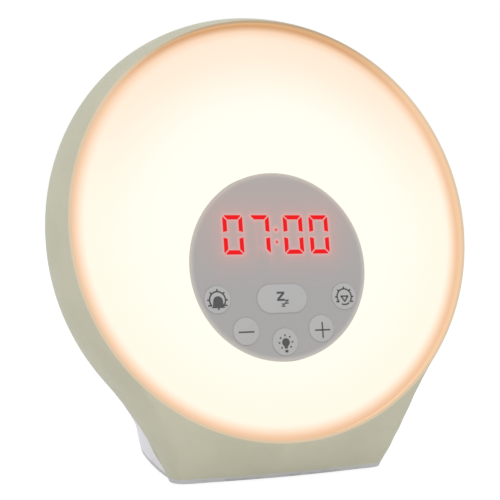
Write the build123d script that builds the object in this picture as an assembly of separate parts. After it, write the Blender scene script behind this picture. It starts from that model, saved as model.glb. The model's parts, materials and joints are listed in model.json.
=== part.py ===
from build123d import *
from math import acos, atan2, cos, exp, hypot, inf, pi, radians, sin, sqrt, tan
import os

os.makedirs("parts", exist_ok=True)

# Sunrise alarm clock, millimetres. The origin is the middle of the footprint on the table,
# +X is the user's right, -Y the side that faces the user and +Z up.
# "Depth" is measured straight back from the plane of the front lip, "rise" up along the face.

# ---- Overall form ----
FACE_TILT = 10.5            # lean of the round face, degrees from the vertical
JOINT_TILT = 7.8            # lean of the joint between front shell and rear housing
FACE_HEIGHT = 96.5          # middle of the face above the table
LIP_RADIUS = 82.5           # outer edge of the front lip
BODY_SWELL = 4.9            # the side wall swells by this much, to its widest at the joint
JOINT_DEPTH = 17.8          # joint behind the face, along the body axis
HEEL_END = 100.0            # heel's rear edge behind the middle of the face

# ---- Front shell ----
WALL = 2.4                  # moulded wall of both shells
LIP_RIM = 0.9               # front lip, measured across
THROAT_DRAFT = 0.8          # the opening widens by this much behind the lip
THROAT_DEPTH = 6.2          # length of the round opening behind the lip
BARREL_DEPTH = 17.0         # depth over which the side wall swells to its full radius
BARREL_POWER = 1.8
CHIN_ANGLE = 48.0           # chin below the face, degrees from the face axis
CHIN_FLATNESS = 3.5         # the higher, the straighter the foot's front edge
CORNER_POWER = 9.0          # the higher, the tighter the turn from chin to side
FLARE_RADIUS = 140.0        # hollow curve from the round body down to the foot
FOOT_HALF_WIDTH = 44.0      # half the front foot at the table
FOOT_CORNER = 2.6           # the side flare runs out at this height

# ---- Rear housing ----
BOWL_DEPTH = 46.0           # round back behind the joint
BOWL_POWER = 2.4
BOWL_FLAT = 16.0            # the middle of the back is flat within this radius
JOINT_STEP = 1.2            # the rear housing stands back this far inside the front shell
HEEL_SWEEP = 22.0           # height over which the heel sweeps up to the back
HEEL_ROOT = 50.0            # where that sweep runs out, behind the middle of the face
HEEL_POWER = 3.0
HEEL_TAPER = 0.10
HEEL_FULL_HEIGHT = 26.0     # the heel is as wide as the joint up to here
HEEL_TOP = 76.0             # and ends inside the bowl here
HEEL_TOP_NARROWING = 0.45
HEEL_HEIGHTS = (-3.0, 4.0, 10.0, 17.0, HEEL_FULL_HEIGHT, 36.0, 48.0, 61.0, HEEL_TOP)

# ---- Base plate and feet ----
FEET_PROUD = 0.6            # the rubber feet lift the plate this far off the table
PLATE_THICKNESS = 1.8
FOOT_PAD_RADIUS = 5.0
FOOT_PAD_SEAT = 0.8         # recess in the plate that holds a foot
FOOT_PAD_CLEARANCE = 0.1
FRONT_PAD = (32.5, 8.0)     # half spacing, and distance behind the middle of the face
REAR_PAD = (21.0, 86.0)

# ---- Diffuser ----
FACE_RECESS = 3.3           # diffuser and display sit this far behind the lip
DIFFUSER_THICKNESS = 2.0
DIFFUSER_SKIRT = 3.2        # depth of the skirt behind the diffuser plate
DIFFUSER_SKIRT_WALL = 1.8
DIFFUSER_EDGE = 1.0         # rounding of the diffuser's front edge
EDGE_CLEARANCE = 0.15

# ---- Display and keys ----
DISPLAY_DROP = 15.1         # middle of the display below the middle of the face
LENS_RADIUS = 36.7
LENS_THICKNESS = 2.0
KEY_RADIUS = 5.3
KEY_CIRCLE = 29.3           # the five round keys lie on this radius about the display
KEY_SPREAD = 32.5           # degrees from one round key to the next
SNOOZE_LENGTH = 20.9
SNOOZE_HEIGHT = 11.2
SNOOZE_DROP = 12.6
KEY_PROUD = 0.3             # keys stand proud of the lens
KEY_TRAVEL = 0.8
KEY_CLEARANCE = 0.12        # round each key, in the lens
KEY_FLANGE = 0.7            # flange behind the lens: its width and its thickness
KEY_EDGE = 0.25
DIGIT_HEIGHT = 15.2
DIGIT_WIDTH = 8.1
DIGIT_PITCH = 11.05
COLON_GAP = 3.05            # the middle pitch is wider by this, for the colon
DIGIT_BAR = 1.6
DIGITS_RISE = 12.35         # middle of the digits above the middle of the display
MODULE_MARGIN = 2.2         # display module round the digits

# ---- Boards, light and sound ----
SEAT_GAP = 0.05             # between a piece and the flat seat that carries it
MAT_SHEET = 1.0
MAT_DOME_RADIUS = 3.2
BOARD_THICKNESS = 1.6
CARRIER_WALL = 1.6
CARRIER_LEDGE = 1.1         # the lens rests on a ledge this wide
CARRIER_FLOOR = 1.6
GASKET_THICKNESS = 0.7
GASKET_WIDTH = 2.0          # the carrier is this much wider than the lens
DISPLAY_BOARD_GAP = 4.2     # display board behind the lens
PEDESTAL_RADIUS = 24.0
PEDESTAL_DROP = 4.0
TRAY_TO_BACK = 21.8         # from the front of the tray's floor to the flat of the back
TRAY_WALL = 1.6
TRAY_FLOOR_RADIUS = 62.0
TRAY_RIM_DEPTH = 8.6
CABLE_HOLE_RADIUS = 12.0
LIGHT_BOARD_OUTER = 54.0
LIGHT_BOARD_INNER = 42.0
LIGHT_COUNT = 24
LIGHT_SIZE = (3.5, 2.8, 0.8)
MAIN_BOARD_SIZE = (84.0, 38.0)
MAIN_BOARD_GAP = 6.4        # main board behind the tray
MAIN_BOARD_DROP = 28.0
SPEAKER_RADIUS = 22.0
SPEAKER_RISE = 15.0
SPEAKER_TO_BACK = 9.4       # from the front of the speaker's flange to the flat of the back
SPEAKER_FLANGE = 1.2
SPEAKER_BASKET_DEPTH = 5.5
SPEAKER_BASKET_RADIUS = 17.0
SPEAKER_MAGNET_RADIUS = 12.0
SPEAKER_MAGNET_DEPTH = 3.6
SPEAKER_GASKET = 0.8
GRILLE_RADIUS = 15.0
GRILLE_PITCH = 4.2
GRILLE_SLOT = 2.0
GRILLE_SIDE_SLOTS = 3        # slots above and below the middle one
INLET_DROP = 40.0
INLET_NOSE_RADIUS = 4.0
INLET_HOLE_RADIUS = 2.75
INLET_PIN_RADIUS = 1.0
INLET_HOLE_DEPTH = 7.0
INLET_BODY = 11.0
INLET_RECESS = 1.6
INLET_POCKET_RADIUS = 6.5
INLET_BODY_DEPTH = 6.2      # from the main board to the housing's wall
INLET_NOSE_LENGTH = 3.0     # the nose ends level with the floor of its pocket
INLET_WELD = 0.5            # the pin runs this far into the body
INLET_CLEARANCE = 0.15
SHEET = 0.7                 # pressed and paper sheet of the speaker
MAT_CLEARANCE = 0.3
SEGMENT_DEPTH = 0.4
COLON_RISE = 2.4            # each dot from the middle of the colon
COLON_DROP = 0.5            # middle of the colon below the middle of the digits
COLON_RADIUS = 0.7
ROUND_KEYS = ("alarm", "minus", "light", "plus", "sunset")
LIT_SEGMENTS = {0: "abcdef", 7: "abc"}
RIBBON_WIDTH = 12.0
RIBBON_THICKNESS = 0.8
RIBBON_BEND = 6.0
RIBBON_RUN = 12.0           # straight run at each end of the ribbon
RIBBON_TOP_RISE = -22.0
RIBBON_FOOT_RISE = -13.0
PLUG_SIZE = 4.0
SOCKET_DEPTH = 3.0
BOARD_SOCKET_RISE = -14.0
LEAD_RADIUS = 0.8
LEAD_BEND = 2.5
LEAD_HOLE_RADIUS = 2.0
LIGHT_LEAD_X = 30.0
LIGHT_LEAD_RISE = -14.0
LIGHT_LEAD_TURN = (0.92, -0.39)     # direction of the lead's solder pad from the face axis
SPEAKER_LEAD_X = -30.0
BOARD_BLOCKS = (                    # width, height, depth, x and rise of each block on the board
    (10.0, 10.0, 1.4, 6.0, -28.0),
    (8.0, 8.0, 3.5, 26.0, -30.0),
    (6.0, 5.0, 1.5, -6.0, -24.0),
    (5.0, 3.0, 1.2, 20.0, -40.0),
)
BOARD_CANS = (                      # radius, depth, x and rise of each capacitor
    (3.1, 4.0, -16.0, -36.0),
    (2.5, 4.5, 27.0, -20.0),
    (2.5, 4.0, 13.0, -38.0),
)
FOOT_NAMES = ("front_left", "front_right", "rear_left", "rear_right")
CUT_END = 1.0                       # cutting shapes run this far past a face
BEYOND = 20.0                       # and this far past the back

# ---- Fasteners ----
SCREW_RADIUS = 1.3
SCREW_HEAD_RADIUS = 2.6
SCREW_HEAD = 1.2
SCREW_CLEARANCE = 0.05      # thread to its pilot hole
PILOT_SPARE = 0.5           # pilot hole beyond the screw's end
WELL_LEAD = 3.0             # the wells' walls start this far before the joint
HEAD_CLEARANCE = 0.3
POST_RADIUS = 3.2
HOUSING_SCREW_INSET = 5.6   # housing screws in from the widest radius
HOUSING_SCREW_ANGLES = (40.0, 140.0, 215.0, 325.0)
HOUSING_BOSS_LENGTH = 3.1   # boss before the joint
HOUSING_SEAT = 5.0          # screw seat behind the joint
TRAY_SCREW_REACH = 58.0
TRAY_SCREW_ANGLES = (62.0, 118.0, 242.0, 298.0)
BOSS_RADIUS = 3.6           # bosses of the front shell
WELL_WALL = 1.4             # wall of the screw wells in the rear housing
HOUSING_SCREW_GRIP = 2.4    # screw beyond the joint, in the front shell's boss
TRAY_SCREW_LENGTH = 6.0
CARRIER_SCREW_REACH = 20.4
CARRIER_SCREW_GRIP = 6.0
DISPLAY_SCREW_REACH = 31.0
DISPLAY_SCREW_LENGTH = 5.0
BOARD_SCREW_MARGIN = 5.0    # board screws in from the board's edges
BOARD_SCREW_LENGTH = 4.5
BASE_SCREW_NEAR = (34.0, 28.0)      # half spacing, and distance behind the middle of the face
BASE_SCREW_FAR = (26.0, 70.0)
BASE_POST_TOP = 13.0
RIB = 2.0
BASE_SCREW_GRIP = 6.0

# ---- Worked out from the sizes above ----
MID = (Align.CENTER, Align.CENTER, Align.MIN)
TILT = radians(FACE_TILT)
BODY_RADIUS = LIP_RADIUS + BODY_SWELL
FOOT_DROP = FACE_HEIGHT - FOOT_CORNER
BACK_DEPTH = JOINT_DEPTH + BOWL_DEPTH
HALF_DEPTH = (HEEL_END + LIP_RADIUS * sin(TILT)) / 2
FACE_Y = HALF_DEPTH - HEEL_END
FACE = Plane(origin=(0, FACE_Y, FACE_HEIGHT), x_dir=(1, 0, 0), z_dir=(0, -cos(TILT), sin(TILT)))
AXIS_DIR = Vector(0, cos(radians(JOINT_TILT)), -sin(radians(JOINT_TILT)))
JOINT_MIDDLE = Vector(0, FACE_Y, FACE_HEIGHT) + AXIS_DIR * JOINT_DEPTH
JOINT = Plane(origin=JOINT_MIDDLE, x_dir=(1, 0, 0), z_dir=-AXIS_DIR)
AXIS_RISE = tan(radians(FACE_TILT - JOINT_TILT))
PLATE_BOTTOM = FEET_PROUD
PLATE_TOP = PLATE_BOTTOM + PLATE_THICKNESS
LENS_BACK = FACE_RECESS + LENS_THICKNESS
DIFFUSER_BACK = FACE_RECESS + DIFFUSER_THICKNESS
FLANGE_FRONT = LENS_BACK + SEAT_GAP
FLANGE_BACK = FLANGE_FRONT + KEY_FLANGE
MAT_TOP = FLANGE_BACK + KEY_TRAVEL + SEAT_GAP
DISPLAY_BOARD_DEPTH = LENS_BACK + DISPLAY_BOARD_GAP
MAT_FRONT = DISPLAY_BOARD_DEPTH - MAT_SHEET
CARRIER_FLOOR_DEPTH = DISPLAY_BOARD_DEPTH + BOARD_THICKNESS + SEAT_GAP
CARRIER_BACK = CARRIER_FLOOR_DEPTH + CARRIER_FLOOR
CARRIER_RADIUS = LENS_RADIUS + GASKET_WIDTH
CARRIER_BORE = LENS_RADIUS - CARRIER_LEDGE
THROAT_RADIUS = LIP_RADIUS - LIP_RIM
DIFFUSER_RADIUS = THROAT_RADIUS + THROAT_DRAFT * FACE_RECESS / THROAT_DEPTH - EDGE_CLEARANCE
SKIRT_BORE = DIFFUSER_RADIUS - DIFFUSER_SKIRT_WALL
TRAY_RIM_RADIUS = SKIRT_BORE - EDGE_CLEARANCE
TRAY_FLOOR_DEPTH = BACK_DEPTH - TRAY_TO_BACK
TRAY_BACK = TRAY_FLOOR_DEPTH + TRAY_WALL
SPEAKER_FLANGE_DEPTH = BACK_DEPTH - SPEAKER_TO_BACK
HOUSING_SCREW_REACH = BODY_RADIUS - HOUSING_SCREW_INSET
MAIN_BOARD_DEPTH = TRAY_BACK + MAIN_BOARD_GAP
MAIN_BOARD_BACK = MAIN_BOARD_DEPTH + BOARD_THICKNESS
INLET_BODY_BACK = MAIN_BOARD_BACK + INLET_BODY_DEPTH
INLET_FACE_DEPTH = INLET_BODY_BACK + INLET_NOSE_LENGTH


# ---- Small helpers: everything inside is drawn in the frame of the face ----
def rod(radius, near, far, x=0.0, rise=0.0):
    """Round bar along the face axis, between two depths."""
    return Pos(x, rise, -far) * Cylinder(radius, far - near, align=MID)


def ring(outer, inner, near, far, x=0.0, rise=0.0):
    """Flat ring between two depths."""
    return rod(outer, near, far, x, rise) - rod(inner, near - CUT_END, far + CUT_END, x, rise)


def block(width, height, near, far, x=0.0, rise=0.0):
    """Rectangular block between two depths."""
    return Pos(x, rise, -far) * Box(width, height, far - near, align=MID)


def around(reach, angle):
    """Place at a reach from the face axis and an angle from the user's right."""
    return reach * cos(radians(angle)), reach * sin(radians(angle))


def placed(shape):
    """Move a shape from the frame of the face to the frame of the clock."""
    return FACE.location * shape


def grouped(shapes):
    """Separate solids that share one node."""
    return Compound(children=[solid for shape in shapes for solid in shape.solids()])


def screw(length):
    """Screw that points along -Z from the underside of its head. Few sides, as there are many."""
    head = extrude(RegularPolygon(SCREW_HEAD_RADIUS, 12), SCREW_HEAD)
    shank = Pos(0, 0, -length) * extrude(RegularPolygon(SCREW_RADIUS, 6), length)
    return head + shank


def screw_from_front(x, rise, seat, length):
    """Screw driven from the front. The seat is the depth of the head's underside."""
    return Pos(x, rise, -seat) * screw(length)


def screw_from_back(x, rise, seat, length):
    """Screw driven from the back."""
    return Pos(x, rise, -seat) * (Rot(0, 180, 0) * screw(length))


def pilot(x, rise, near, far):
    """Hole that a screw's shank runs in."""
    return rod(SCREW_RADIUS + SCREW_CLEARANCE, near, far, x, rise)


# ---- Outer form of the front ----
FOOT_REACH = hypot(FOOT_HALF_WIDTH, FOOT_DROP)
FLARE_CENTRE_REACH = BODY_RADIUS + FLARE_RADIUS
FLARE_TURN = acos((BODY_RADIUS ** 2 + 2 * BODY_RADIUS * FLARE_RADIUS + FOOT_REACH ** 2)
                  / (2 * FLARE_CENTRE_REACH * FOOT_REACH))
FLARE_ANGLE = FLARE_TURN - atan2(FOOT_DROP, FOOT_HALF_WIDTH)
FLARE_X = FLARE_CENTRE_REACH * cos(FLARE_ANGLE)
FLARE_RISE = FLARE_CENTRE_REACH * sin(FLARE_ANGLE)


def side_reach(angle):
    """Distance from the body axis to the full side outline: a circle that flares to the foot."""
    if sin(angle) > sin(FLARE_ANGLE):
        return BODY_RADIUS
    middle = FLARE_X * abs(cos(angle)) + FLARE_RISE * sin(angle)
    square = middle ** 2 - FLARE_CENTRE_REACH ** 2 + FLARE_RADIUS ** 2
    return middle - sqrt(square) if square > 0 else inf


def side_half_width(rise):
    """Half width of the same outline at a height on the face."""
    if rise > BODY_RADIUS * sin(FLARE_ANGLE):
        return sqrt(max(BODY_RADIUS ** 2 - rise ** 2, 0.0))
    return FLARE_X - sqrt(FLARE_RADIUS ** 2 - (rise - FLARE_RISE) ** 2)


def front_reach(angle, depth):
    """Outer radius of the front shell: the barrelled side, cut back by the chin."""
    if depth <= 0:
        return LIP_RADIUS
    swell = 1 - max(0.0, 1 - depth / BARREL_DEPTH) ** BARREL_POWER
    share = (LIP_RADIUS + (BODY_RADIUS - LIP_RADIUS) * swell) / BODY_RADIUS
    side = side_reach(angle) * share - LIP_RADIUS
    chin = depth * tan(radians(CHIN_ANGLE)) / abs(sin(angle)) ** CHIN_FLATNESS
    return LIP_RADIUS + (side ** -CORNER_POWER + chin ** -CORNER_POWER) ** (-1 / CORNER_POWER)


FOOT_POINTS = 13            # outline points from the round body to the middle of the foot


def front_outline(depth, inset):
    """Closed outline of the front at one depth: a round arc, and a foot of two mirrored curves."""
    def point(angle):
        reach = front_reach(angle, depth) - inset
        return Vector(reach * cos(angle), reach * sin(angle) + AXIS_RISE * depth, -depth)

    angles = [FLARE_ANGLE + (-pi / 2 - FLARE_ANGLE) * i / FOOT_POINTS for i in range(FOOT_POINTS + 1)]
    right = [point(angle) for angle in angles]
    left = [Vector(-p.X, p.Y, p.Z) for p in reversed(right)]
    steps = [i / FOOT_POINTS for i in range(FOOT_POINTS + 1)]
    down = Vector(sin(FLARE_ANGLE), -cos(FLARE_ANGLE), 0)
    up = Vector(down.X, -down.Y, 0)
    across = Vector(-1, 0, 0)
    top = point(pi / 2)
    return Wire([
        Edge.make_spline(right, tangents=[down, across], parameters=steps),
        Edge.make_spline(left, tangents=[across, up], parameters=steps),
        Edge.make_tangent_arc(left[-1], up, top),
        Edge.make_tangent_arc(top, Vector(1, 0, 0), right[0]),
    ])


def front_form(depths, inset):
    """Solid through the outlines at several depths."""
    return placed(Solid.make_loft([front_outline(depth, inset) for depth in reversed(depths)]))


# ---- Outer form of the rear ----
def bowl(inset):
    """Round back: a flattened dome turned about the body axis."""
    radius = BODY_RADIUS - JOINT_STEP - inset
    depth = BOWL_DEPTH - inset
    power = 2 / BOWL_POWER
    turns = [radians(turn) for turn in (0, 15, 30, 45, 58, 70)]
    points = [Vector(radius * cos(a) ** power, 0, -depth * sin(a) ** power) for a in turns]
    points.append(Vector(BOWL_FLAT, 0, -depth))
    edge = Edge.make_spline(points, tangents=[(0, 0, -1), (-1, 0, 0)])
    rest = [points[-1], (0, 0, -depth), (0, 0, WALL), (radius, 0, WALL), points[0]]
    profile = Wire([edge] + [Edge.make_line(rest[i], rest[i + 1]) for i in range(4)])
    return JOINT.location * (Rot(0, 0, 90) * Solid.revolve(Face(profile), 360, Axis.Z))


HEEL_POINTS = 6


def joint_y(height):
    """Where the joint plane lies at one height."""
    return JOINT_MIDDLE.Y + (height - JOINT_MIDDLE.Z) * tan(radians(JOINT_TILT))


def heel_outline(height, inset):
    """Outline of the heel at one height: straight by the joint, then rounding to the back."""
    rise = (height - JOINT_MIDDLE.Z) / cos(radians(JOINT_TILT))
    half = side_half_width(rise) - JOINT_STEP - inset
    above = max(0.0, height - HEEL_FULL_HEIGHT) / (HEEL_TOP - HEEL_FULL_HEIGHT)
    half = half * (1 - HEEL_TOP_NARROWING * above ** 2)
    sweep = exp(-(max(0.0, height) / HEEL_SWEEP) ** 2)
    end = FACE_Y + HEEL_ROOT + (HEEL_END - HEEL_ROOT) * sweep - inset
    start = joint_y(height)
    points = []
    for i in range(HEEL_POINTS + 1):
        turn = pi / 2 * i / HEEL_POINTS
        back = sin(turn) ** (2 / HEEL_POWER)
        side = cos(turn) ** (2 / HEEL_POWER) if i < HEEL_POINTS else 0.0
        points.append(Vector(half * side * (1 - HEEL_TAPER * back), start + (end - start) * back, height))
    steps = [i / HEEL_POINTS for i in range(HEEL_POINTS + 1)]
    mirrored = [Vector(-p.X, p.Y, p.Z) for p in reversed(points)]
    near = start - 4 * WALL
    right, left = Vector(half, near, height), Vector(-half, near, height)
    side = Edge.make_spline(mirrored, tangents=[(-1, 0, 0), (0, -1, 0)], parameters=steps)
    return Wire([
        Edge.make_line(right, points[0]),
        side.mirror(Plane.YZ),
        side,
        Edge.make_line(mirrored[-1], left),
        Edge.make_line(left, right),
    ])


def heel(inset):
    """Heel that carries the clock from behind, sweeping up into the bowl."""
    return Solid.make_loft([heel_outline(height, inset) for height in HEEL_HEIGHTS])


# ---- Cutting spaces ----
HUGE = 400.0
ABOVE_PLATE = Pos(0, 0, PLATE_TOP) * Box(HUGE, HUGE, HUGE, align=MID)
PLATE_SLAB = Pos(0, 0, PLATE_BOTTOM) * Box(HUGE, HUGE, PLATE_THICKNESS, align=MID)
BEFORE_JOINT = JOINT.location * Box(HUGE, HUGE, HUGE, align=MID)
BEHIND_JOINT = JOINT.location * (Pos(0, 0, -HUGE) * Box(HUGE, HUGE, HUGE, align=MID))

FORM_DEPTHS = (0.0, 1.0, 3.0, 6.0, 9.5, 13.0, 17.0, 21.0, 26.0)
CAVITY_DEPTHS = (6.6, 8.0, 10.0, 13.5, 17.0, 21.0, 27.0)
FRONT_FORM = front_form(FORM_DEPTHS, 0.0)
FRONT_CAVITY = front_form(CAVITY_DEPTHS, WALL)
SOLID_REAR = (bowl(0.0) & BEHIND_JOINT) + (heel(0.0) & BEHIND_JOINT & ABOVE_PLATE)
REAR_CAVITY = bowl(WALL) + heel(WALL)


def housing_screw_places():
    """Where the rear housing is screwed to the front shell, round the body axis."""
    places = [around(HOUSING_SCREW_REACH, angle) for angle in HOUSING_SCREW_ANGLES]
    return [(x, rise + AXIS_RISE * JOINT_DEPTH) for x, rise in places]


def tray_screw_places():
    """Where the light tray is screwed to posts on the rear housing."""
    return [around(TRAY_SCREW_REACH, angle) for angle in TRAY_SCREW_ANGLES]


def carrier_screw_places():
    """Where the display carrier's foot is screwed to the light tray."""
    places = [around(CARRIER_SCREW_REACH, angle) for angle in (90, 210, 330)]
    return [(x, rise - PEDESTAL_DROP) for x, rise in places]


def display_screw_places():
    """Where the display board is screwed to its carrier."""
    places = [around(DISPLAY_SCREW_REACH, angle) for angle in (90, 185, 355)]
    return [(x, rise - DISPLAY_DROP) for x, rise in places]


def board_screw_places():
    """Where the main board is screwed to the rear housing."""
    x = MAIN_BOARD_SIZE[0] / 2 - BOARD_SCREW_MARGIN
    rise = MAIN_BOARD_SIZE[1] / 2 - BOARD_SCREW_MARGIN
    return [(i * x, j * rise - MAIN_BOARD_DROP) for i in (-1, 1) for j in (-1, 1)]


def base_screw_places():
    """Where the base plate is screwed up into the rear housing: x and y on the table."""
    return [(i * x, FACE_Y + y) for x, y in (BASE_SCREW_NEAR, BASE_SCREW_FAR) for i in (-1, 1)]


def foot_pad_places():
    """Where the four rubber feet stand: x and y on the table."""
    return [(i * x, FACE_Y + y) for x, y in (FRONT_PAD, REAR_PAD) for i in (-1, 1)]


def joint_depth(rise):
    """Depth of the joint plane behind the face at a rise on it."""
    return JOINT_DEPTH / cos(radians(FACE_TILT - JOINT_TILT)) - rise * AXIS_RISE


def upright(radius, low, high, x, y):
    """Upright cylinder between two heights."""
    return Pos(x, y, low) * Cylinder(radius, high - low, align=MID)


# ---- Casing ----
def front_shell():
    """Front shell: the round wall with its thin lip, the chin and the foot, and four screw bosses."""
    wide = THROAT_RADIUS + THROAT_DRAFT
    throat = Pos(0, 0, -THROAT_DEPTH) * Cone(wide, THROAT_RADIUS, THROAT_DEPTH, align=MID)
    hollow = FRONT_CAVITY
    for x, rise in housing_screw_places():
        joint = joint_depth(rise)
        boss = rod(BOSS_RADIUS, joint - HOUSING_BOSS_LENGTH, joint + HOUSING_SEAT, x, rise)
        hollow = hollow - placed(boss)
    shell = (FRONT_FORM & BEFORE_JOINT & ABOVE_PLATE) - hollow
    shell = shell - placed(rod(wide, THROAT_DEPTH, CAVITY_DEPTHS[0] + CUT_END))
    shell = shell - placed(throat) - placed(rod(THROAT_RADIUS, -CUT_END, 0))
    for x, rise in housing_screw_places():
        joint = joint_depth(rise)
        hole = pilot(x, rise, joint - HOUSING_SCREW_GRIP - PILOT_SPARE, joint + HOUSING_SEAT)
        shell = shell - placed(hole)
    return shell


def rear_housing():
    """Rear housing: round back and heel in one moulding, with posts, screw wells, grille and inlet."""
    well = SCREW_HEAD_RADIUS + HEAD_CLEARANCE
    deep = BACK_DEPTH + BEYOND
    added = []
    for x, rise in housing_screw_places():
        added.append(placed(rod(well + WELL_WALL, joint_depth(rise) - WELL_LEAD, deep, x, rise)))
    for x, rise in tray_screw_places():
        added.append(placed(rod(POST_RADIUS, TRAY_BACK + SEAT_GAP, deep, x, rise)))
    for x, rise in board_screw_places():
        added.append(placed(rod(POST_RADIUS, MAIN_BOARD_BACK + SEAT_GAP, deep, x, rise)))
    for x, y in base_screw_places():
        added.append(upright(POST_RADIUS, 0, BASE_POST_TOP, x, y))
        rib = Box(FOOT_HALF_WIDTH - abs(x), RIB, BASE_POST_TOP, align=MID)
        middle = (FOOT_HALF_WIDTH + abs(x)) / 2
        added.append(Pos(middle if x > 0 else -middle, y, 0) * rib)
    seat = SPEAKER_FLANGE_DEPTH + SPEAKER_FLANGE + SPEAKER_GASKET + 2 * SEAT_GAP
    added.append(placed(ring(SPEAKER_RADIUS, SPEAKER_BASKET_RADIUS, seat, deep, 0, SPEAKER_RISE)))
    collar = INLET_POCKET_RADIUS + INLET_RECESS
    added.append(placed(rod(collar, INLET_BODY_BACK + SEAT_GAP, deep, 0, -INLET_DROP)))
    hollow = REAR_CAVITY
    for shape in added:
        hollow = hollow - shape
    shell = SOLID_REAR - hollow
    for x, rise in housing_screw_places():
        joint = joint_depth(rise)
        hole = pilot(x, rise, joint - WELL_LEAD - CUT_END, joint + HOUSING_SEAT + CUT_END)
        shell = shell - placed(hole) - placed(rod(well, joint + HOUSING_SEAT, deep, x, rise))
    for x, rise in tray_screw_places():
        end = TRAY_FLOOR_DEPTH + TRAY_SCREW_LENGTH + PILOT_SPARE
        shell = shell - placed(pilot(x, rise, TRAY_BACK - CUT_END, end))
    for x, rise in board_screw_places():
        end = MAIN_BOARD_DEPTH + BOARD_SCREW_LENGTH + PILOT_SPARE
        shell = shell - placed(pilot(x, rise, MAIN_BOARD_BACK - CUT_END, end))
    for x, y in base_screw_places():
        end = PLATE_TOP + BASE_SCREW_GRIP + PILOT_SPARE
        shell = shell - upright(SCREW_RADIUS + SCREW_CLEARANCE, 0, end, x, y)
    nose = rod(INLET_NOSE_RADIUS + INLET_CLEARANCE, MAIN_BOARD_BACK, deep, 0, -INLET_DROP)
    pocket = rod(INLET_POCKET_RADIUS, INLET_FACE_DEPTH, deep, 0, -INLET_DROP)
    shell = shell - placed(nose) - placed(pocket)
    for slot in grille_slots():
        shell = shell - placed(slot)
    return shell


def grille_slots():
    """Level slots through the back that fill a circle over the speaker."""
    slots = []
    for i in range(-GRILLE_SIDE_SLOTS, GRILLE_SIDE_SLOTS + 1):
        width = 2 * sqrt(GRILLE_RADIUS ** 2 - (i * GRILLE_PITCH) ** 2)
        slot = extrude(SlotOverall(width, GRILLE_SLOT), HUGE)
        slots.append(Pos(0, SPEAKER_RISE + i * GRILLE_PITCH, -SPEAKER_FLANGE_DEPTH - HUGE) * slot)
    return slots


def base_plate():
    """Flat plate that closes both shells from below, with seats for the feet and the screws."""
    front = FRONT_FORM & PLATE_SLAB & BEFORE_JOINT
    rear = heel(0.0) & PLATE_SLAB & BEHIND_JOINT
    plate = front + rear
    for x, y in foot_pad_places():
        radius = FOOT_PAD_RADIUS + FOOT_PAD_CLEARANCE
        plate = plate - upright(radius, 0, PLATE_BOTTOM + FOOT_PAD_SEAT, x, y)
    for x, y in base_screw_places():
        plate = plate - upright(SCREW_RADIUS + SCREW_CLEARANCE, 0, PLATE_TOP + CUT_END, x, y)
        plate = plate - upright(SCREW_HEAD_RADIUS + HEAD_CLEARANCE, 0, PLATE_BOTTOM + SCREW_HEAD, x, y)
    return plate


# ---- Diffuser and light ----
def diffuser():
    """Opal face plate with a skirt, and a round hole for the display."""
    plate = rod(DIFFUSER_RADIUS, FACE_RECESS, DIFFUSER_BACK)
    plate = fillet(plate.edges().group_by(Axis.Z)[-1], DIFFUSER_EDGE)
    skirt = ring(DIFFUSER_RADIUS, SKIRT_BORE, DIFFUSER_BACK, DIFFUSER_BACK + DIFFUSER_SKIRT)
    hole = rod(LENS_RADIUS + EDGE_CLEARANCE, 0, DIFFUSER_BACK + CUT_END, 0, -DISPLAY_DROP)
    return placed(plate + skirt - hole)


def light_tray():
    """White dished reflector behind the diffuser, with a flat floor for the light board."""
    front = DIFFUSER_BACK + SEAT_GAP
    run = TRAY_BACK - TRAY_RIM_DEPTH
    outer = Pos(0, 0, -TRAY_BACK) * Cone(TRAY_FLOOR_RADIUS + TRAY_WALL, TRAY_RIM_RADIUS, run, align=MID)
    outer = outer + rod(TRAY_RIM_RADIUS, front, TRAY_RIM_DEPTH)
    run = TRAY_FLOOR_DEPTH - TRAY_RIM_DEPTH
    bore = TRAY_RIM_RADIUS - TRAY_WALL
    inner = Pos(0, 0, -TRAY_FLOOR_DEPTH) * Cone(TRAY_FLOOR_RADIUS, bore, run, align=MID)
    inner = inner + rod(bore, front - CUT_END, TRAY_RIM_DEPTH)
    near, far = TRAY_FLOOR_DEPTH - CUT_END, TRAY_BACK + CUT_END
    tray = outer - inner - rod(CABLE_HOLE_RADIUS, near, far, 0, -PEDESTAL_DROP)
    tray = tray - rod(LEAD_HOLE_RADIUS, near, far, LIGHT_LEAD_X, LIGHT_LEAD_RISE)
    for x, rise in tray_screw_places() + carrier_screw_places():
        tray = tray - pilot(x, rise, near, far)
    return placed(tray)


def light_board():
    """Ring-shaped aluminium board that carries the light-emitting diodes."""
    back = TRAY_FLOOR_DEPTH - SEAT_GAP
    return placed(ring(LIGHT_BOARD_OUTER, LIGHT_BOARD_INNER, back - BOARD_THICKNESS, back))


def light_diodes():
    """The ring of diodes on the light board."""
    length, width, height = LIGHT_SIZE
    back = TRAY_FLOOR_DEPTH - SEAT_GAP - BOARD_THICKNESS
    reach = (LIGHT_BOARD_OUTER + LIGHT_BOARD_INNER) / 2
    diode = Pos(reach, 0, -back) * Box(width, length, height, align=MID)
    return placed(grouped([Rot(0, 0, 360 * i / LIGHT_COUNT) * diode for i in range(LIGHT_COUNT)]))


# ---- Display and keys ----
def key_places():
    """The five round keys, in order from the alarm key round to the sunset key."""
    places = {}
    for i, name in enumerate(ROUND_KEYS):
        x, rise = around(KEY_CIRCLE, 270 + (i - 2) * KEY_SPREAD)
        places[name] = (x, rise - DISPLAY_DROP)
    return places


def key_outline(extra):
    """Outline of the long snooze key, grown by an amount."""
    return SlotOverall(SNOOZE_LENGTH + 2 * extra, SNOOZE_HEIGHT + 2 * extra)


def snooze_bar(extra, near, far):
    """Bar with the outline of the snooze key, between two depths."""
    return Pos(0, -DISPLAY_DROP - SNOOZE_DROP, -far) * extrude(key_outline(extra), far - near)


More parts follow.
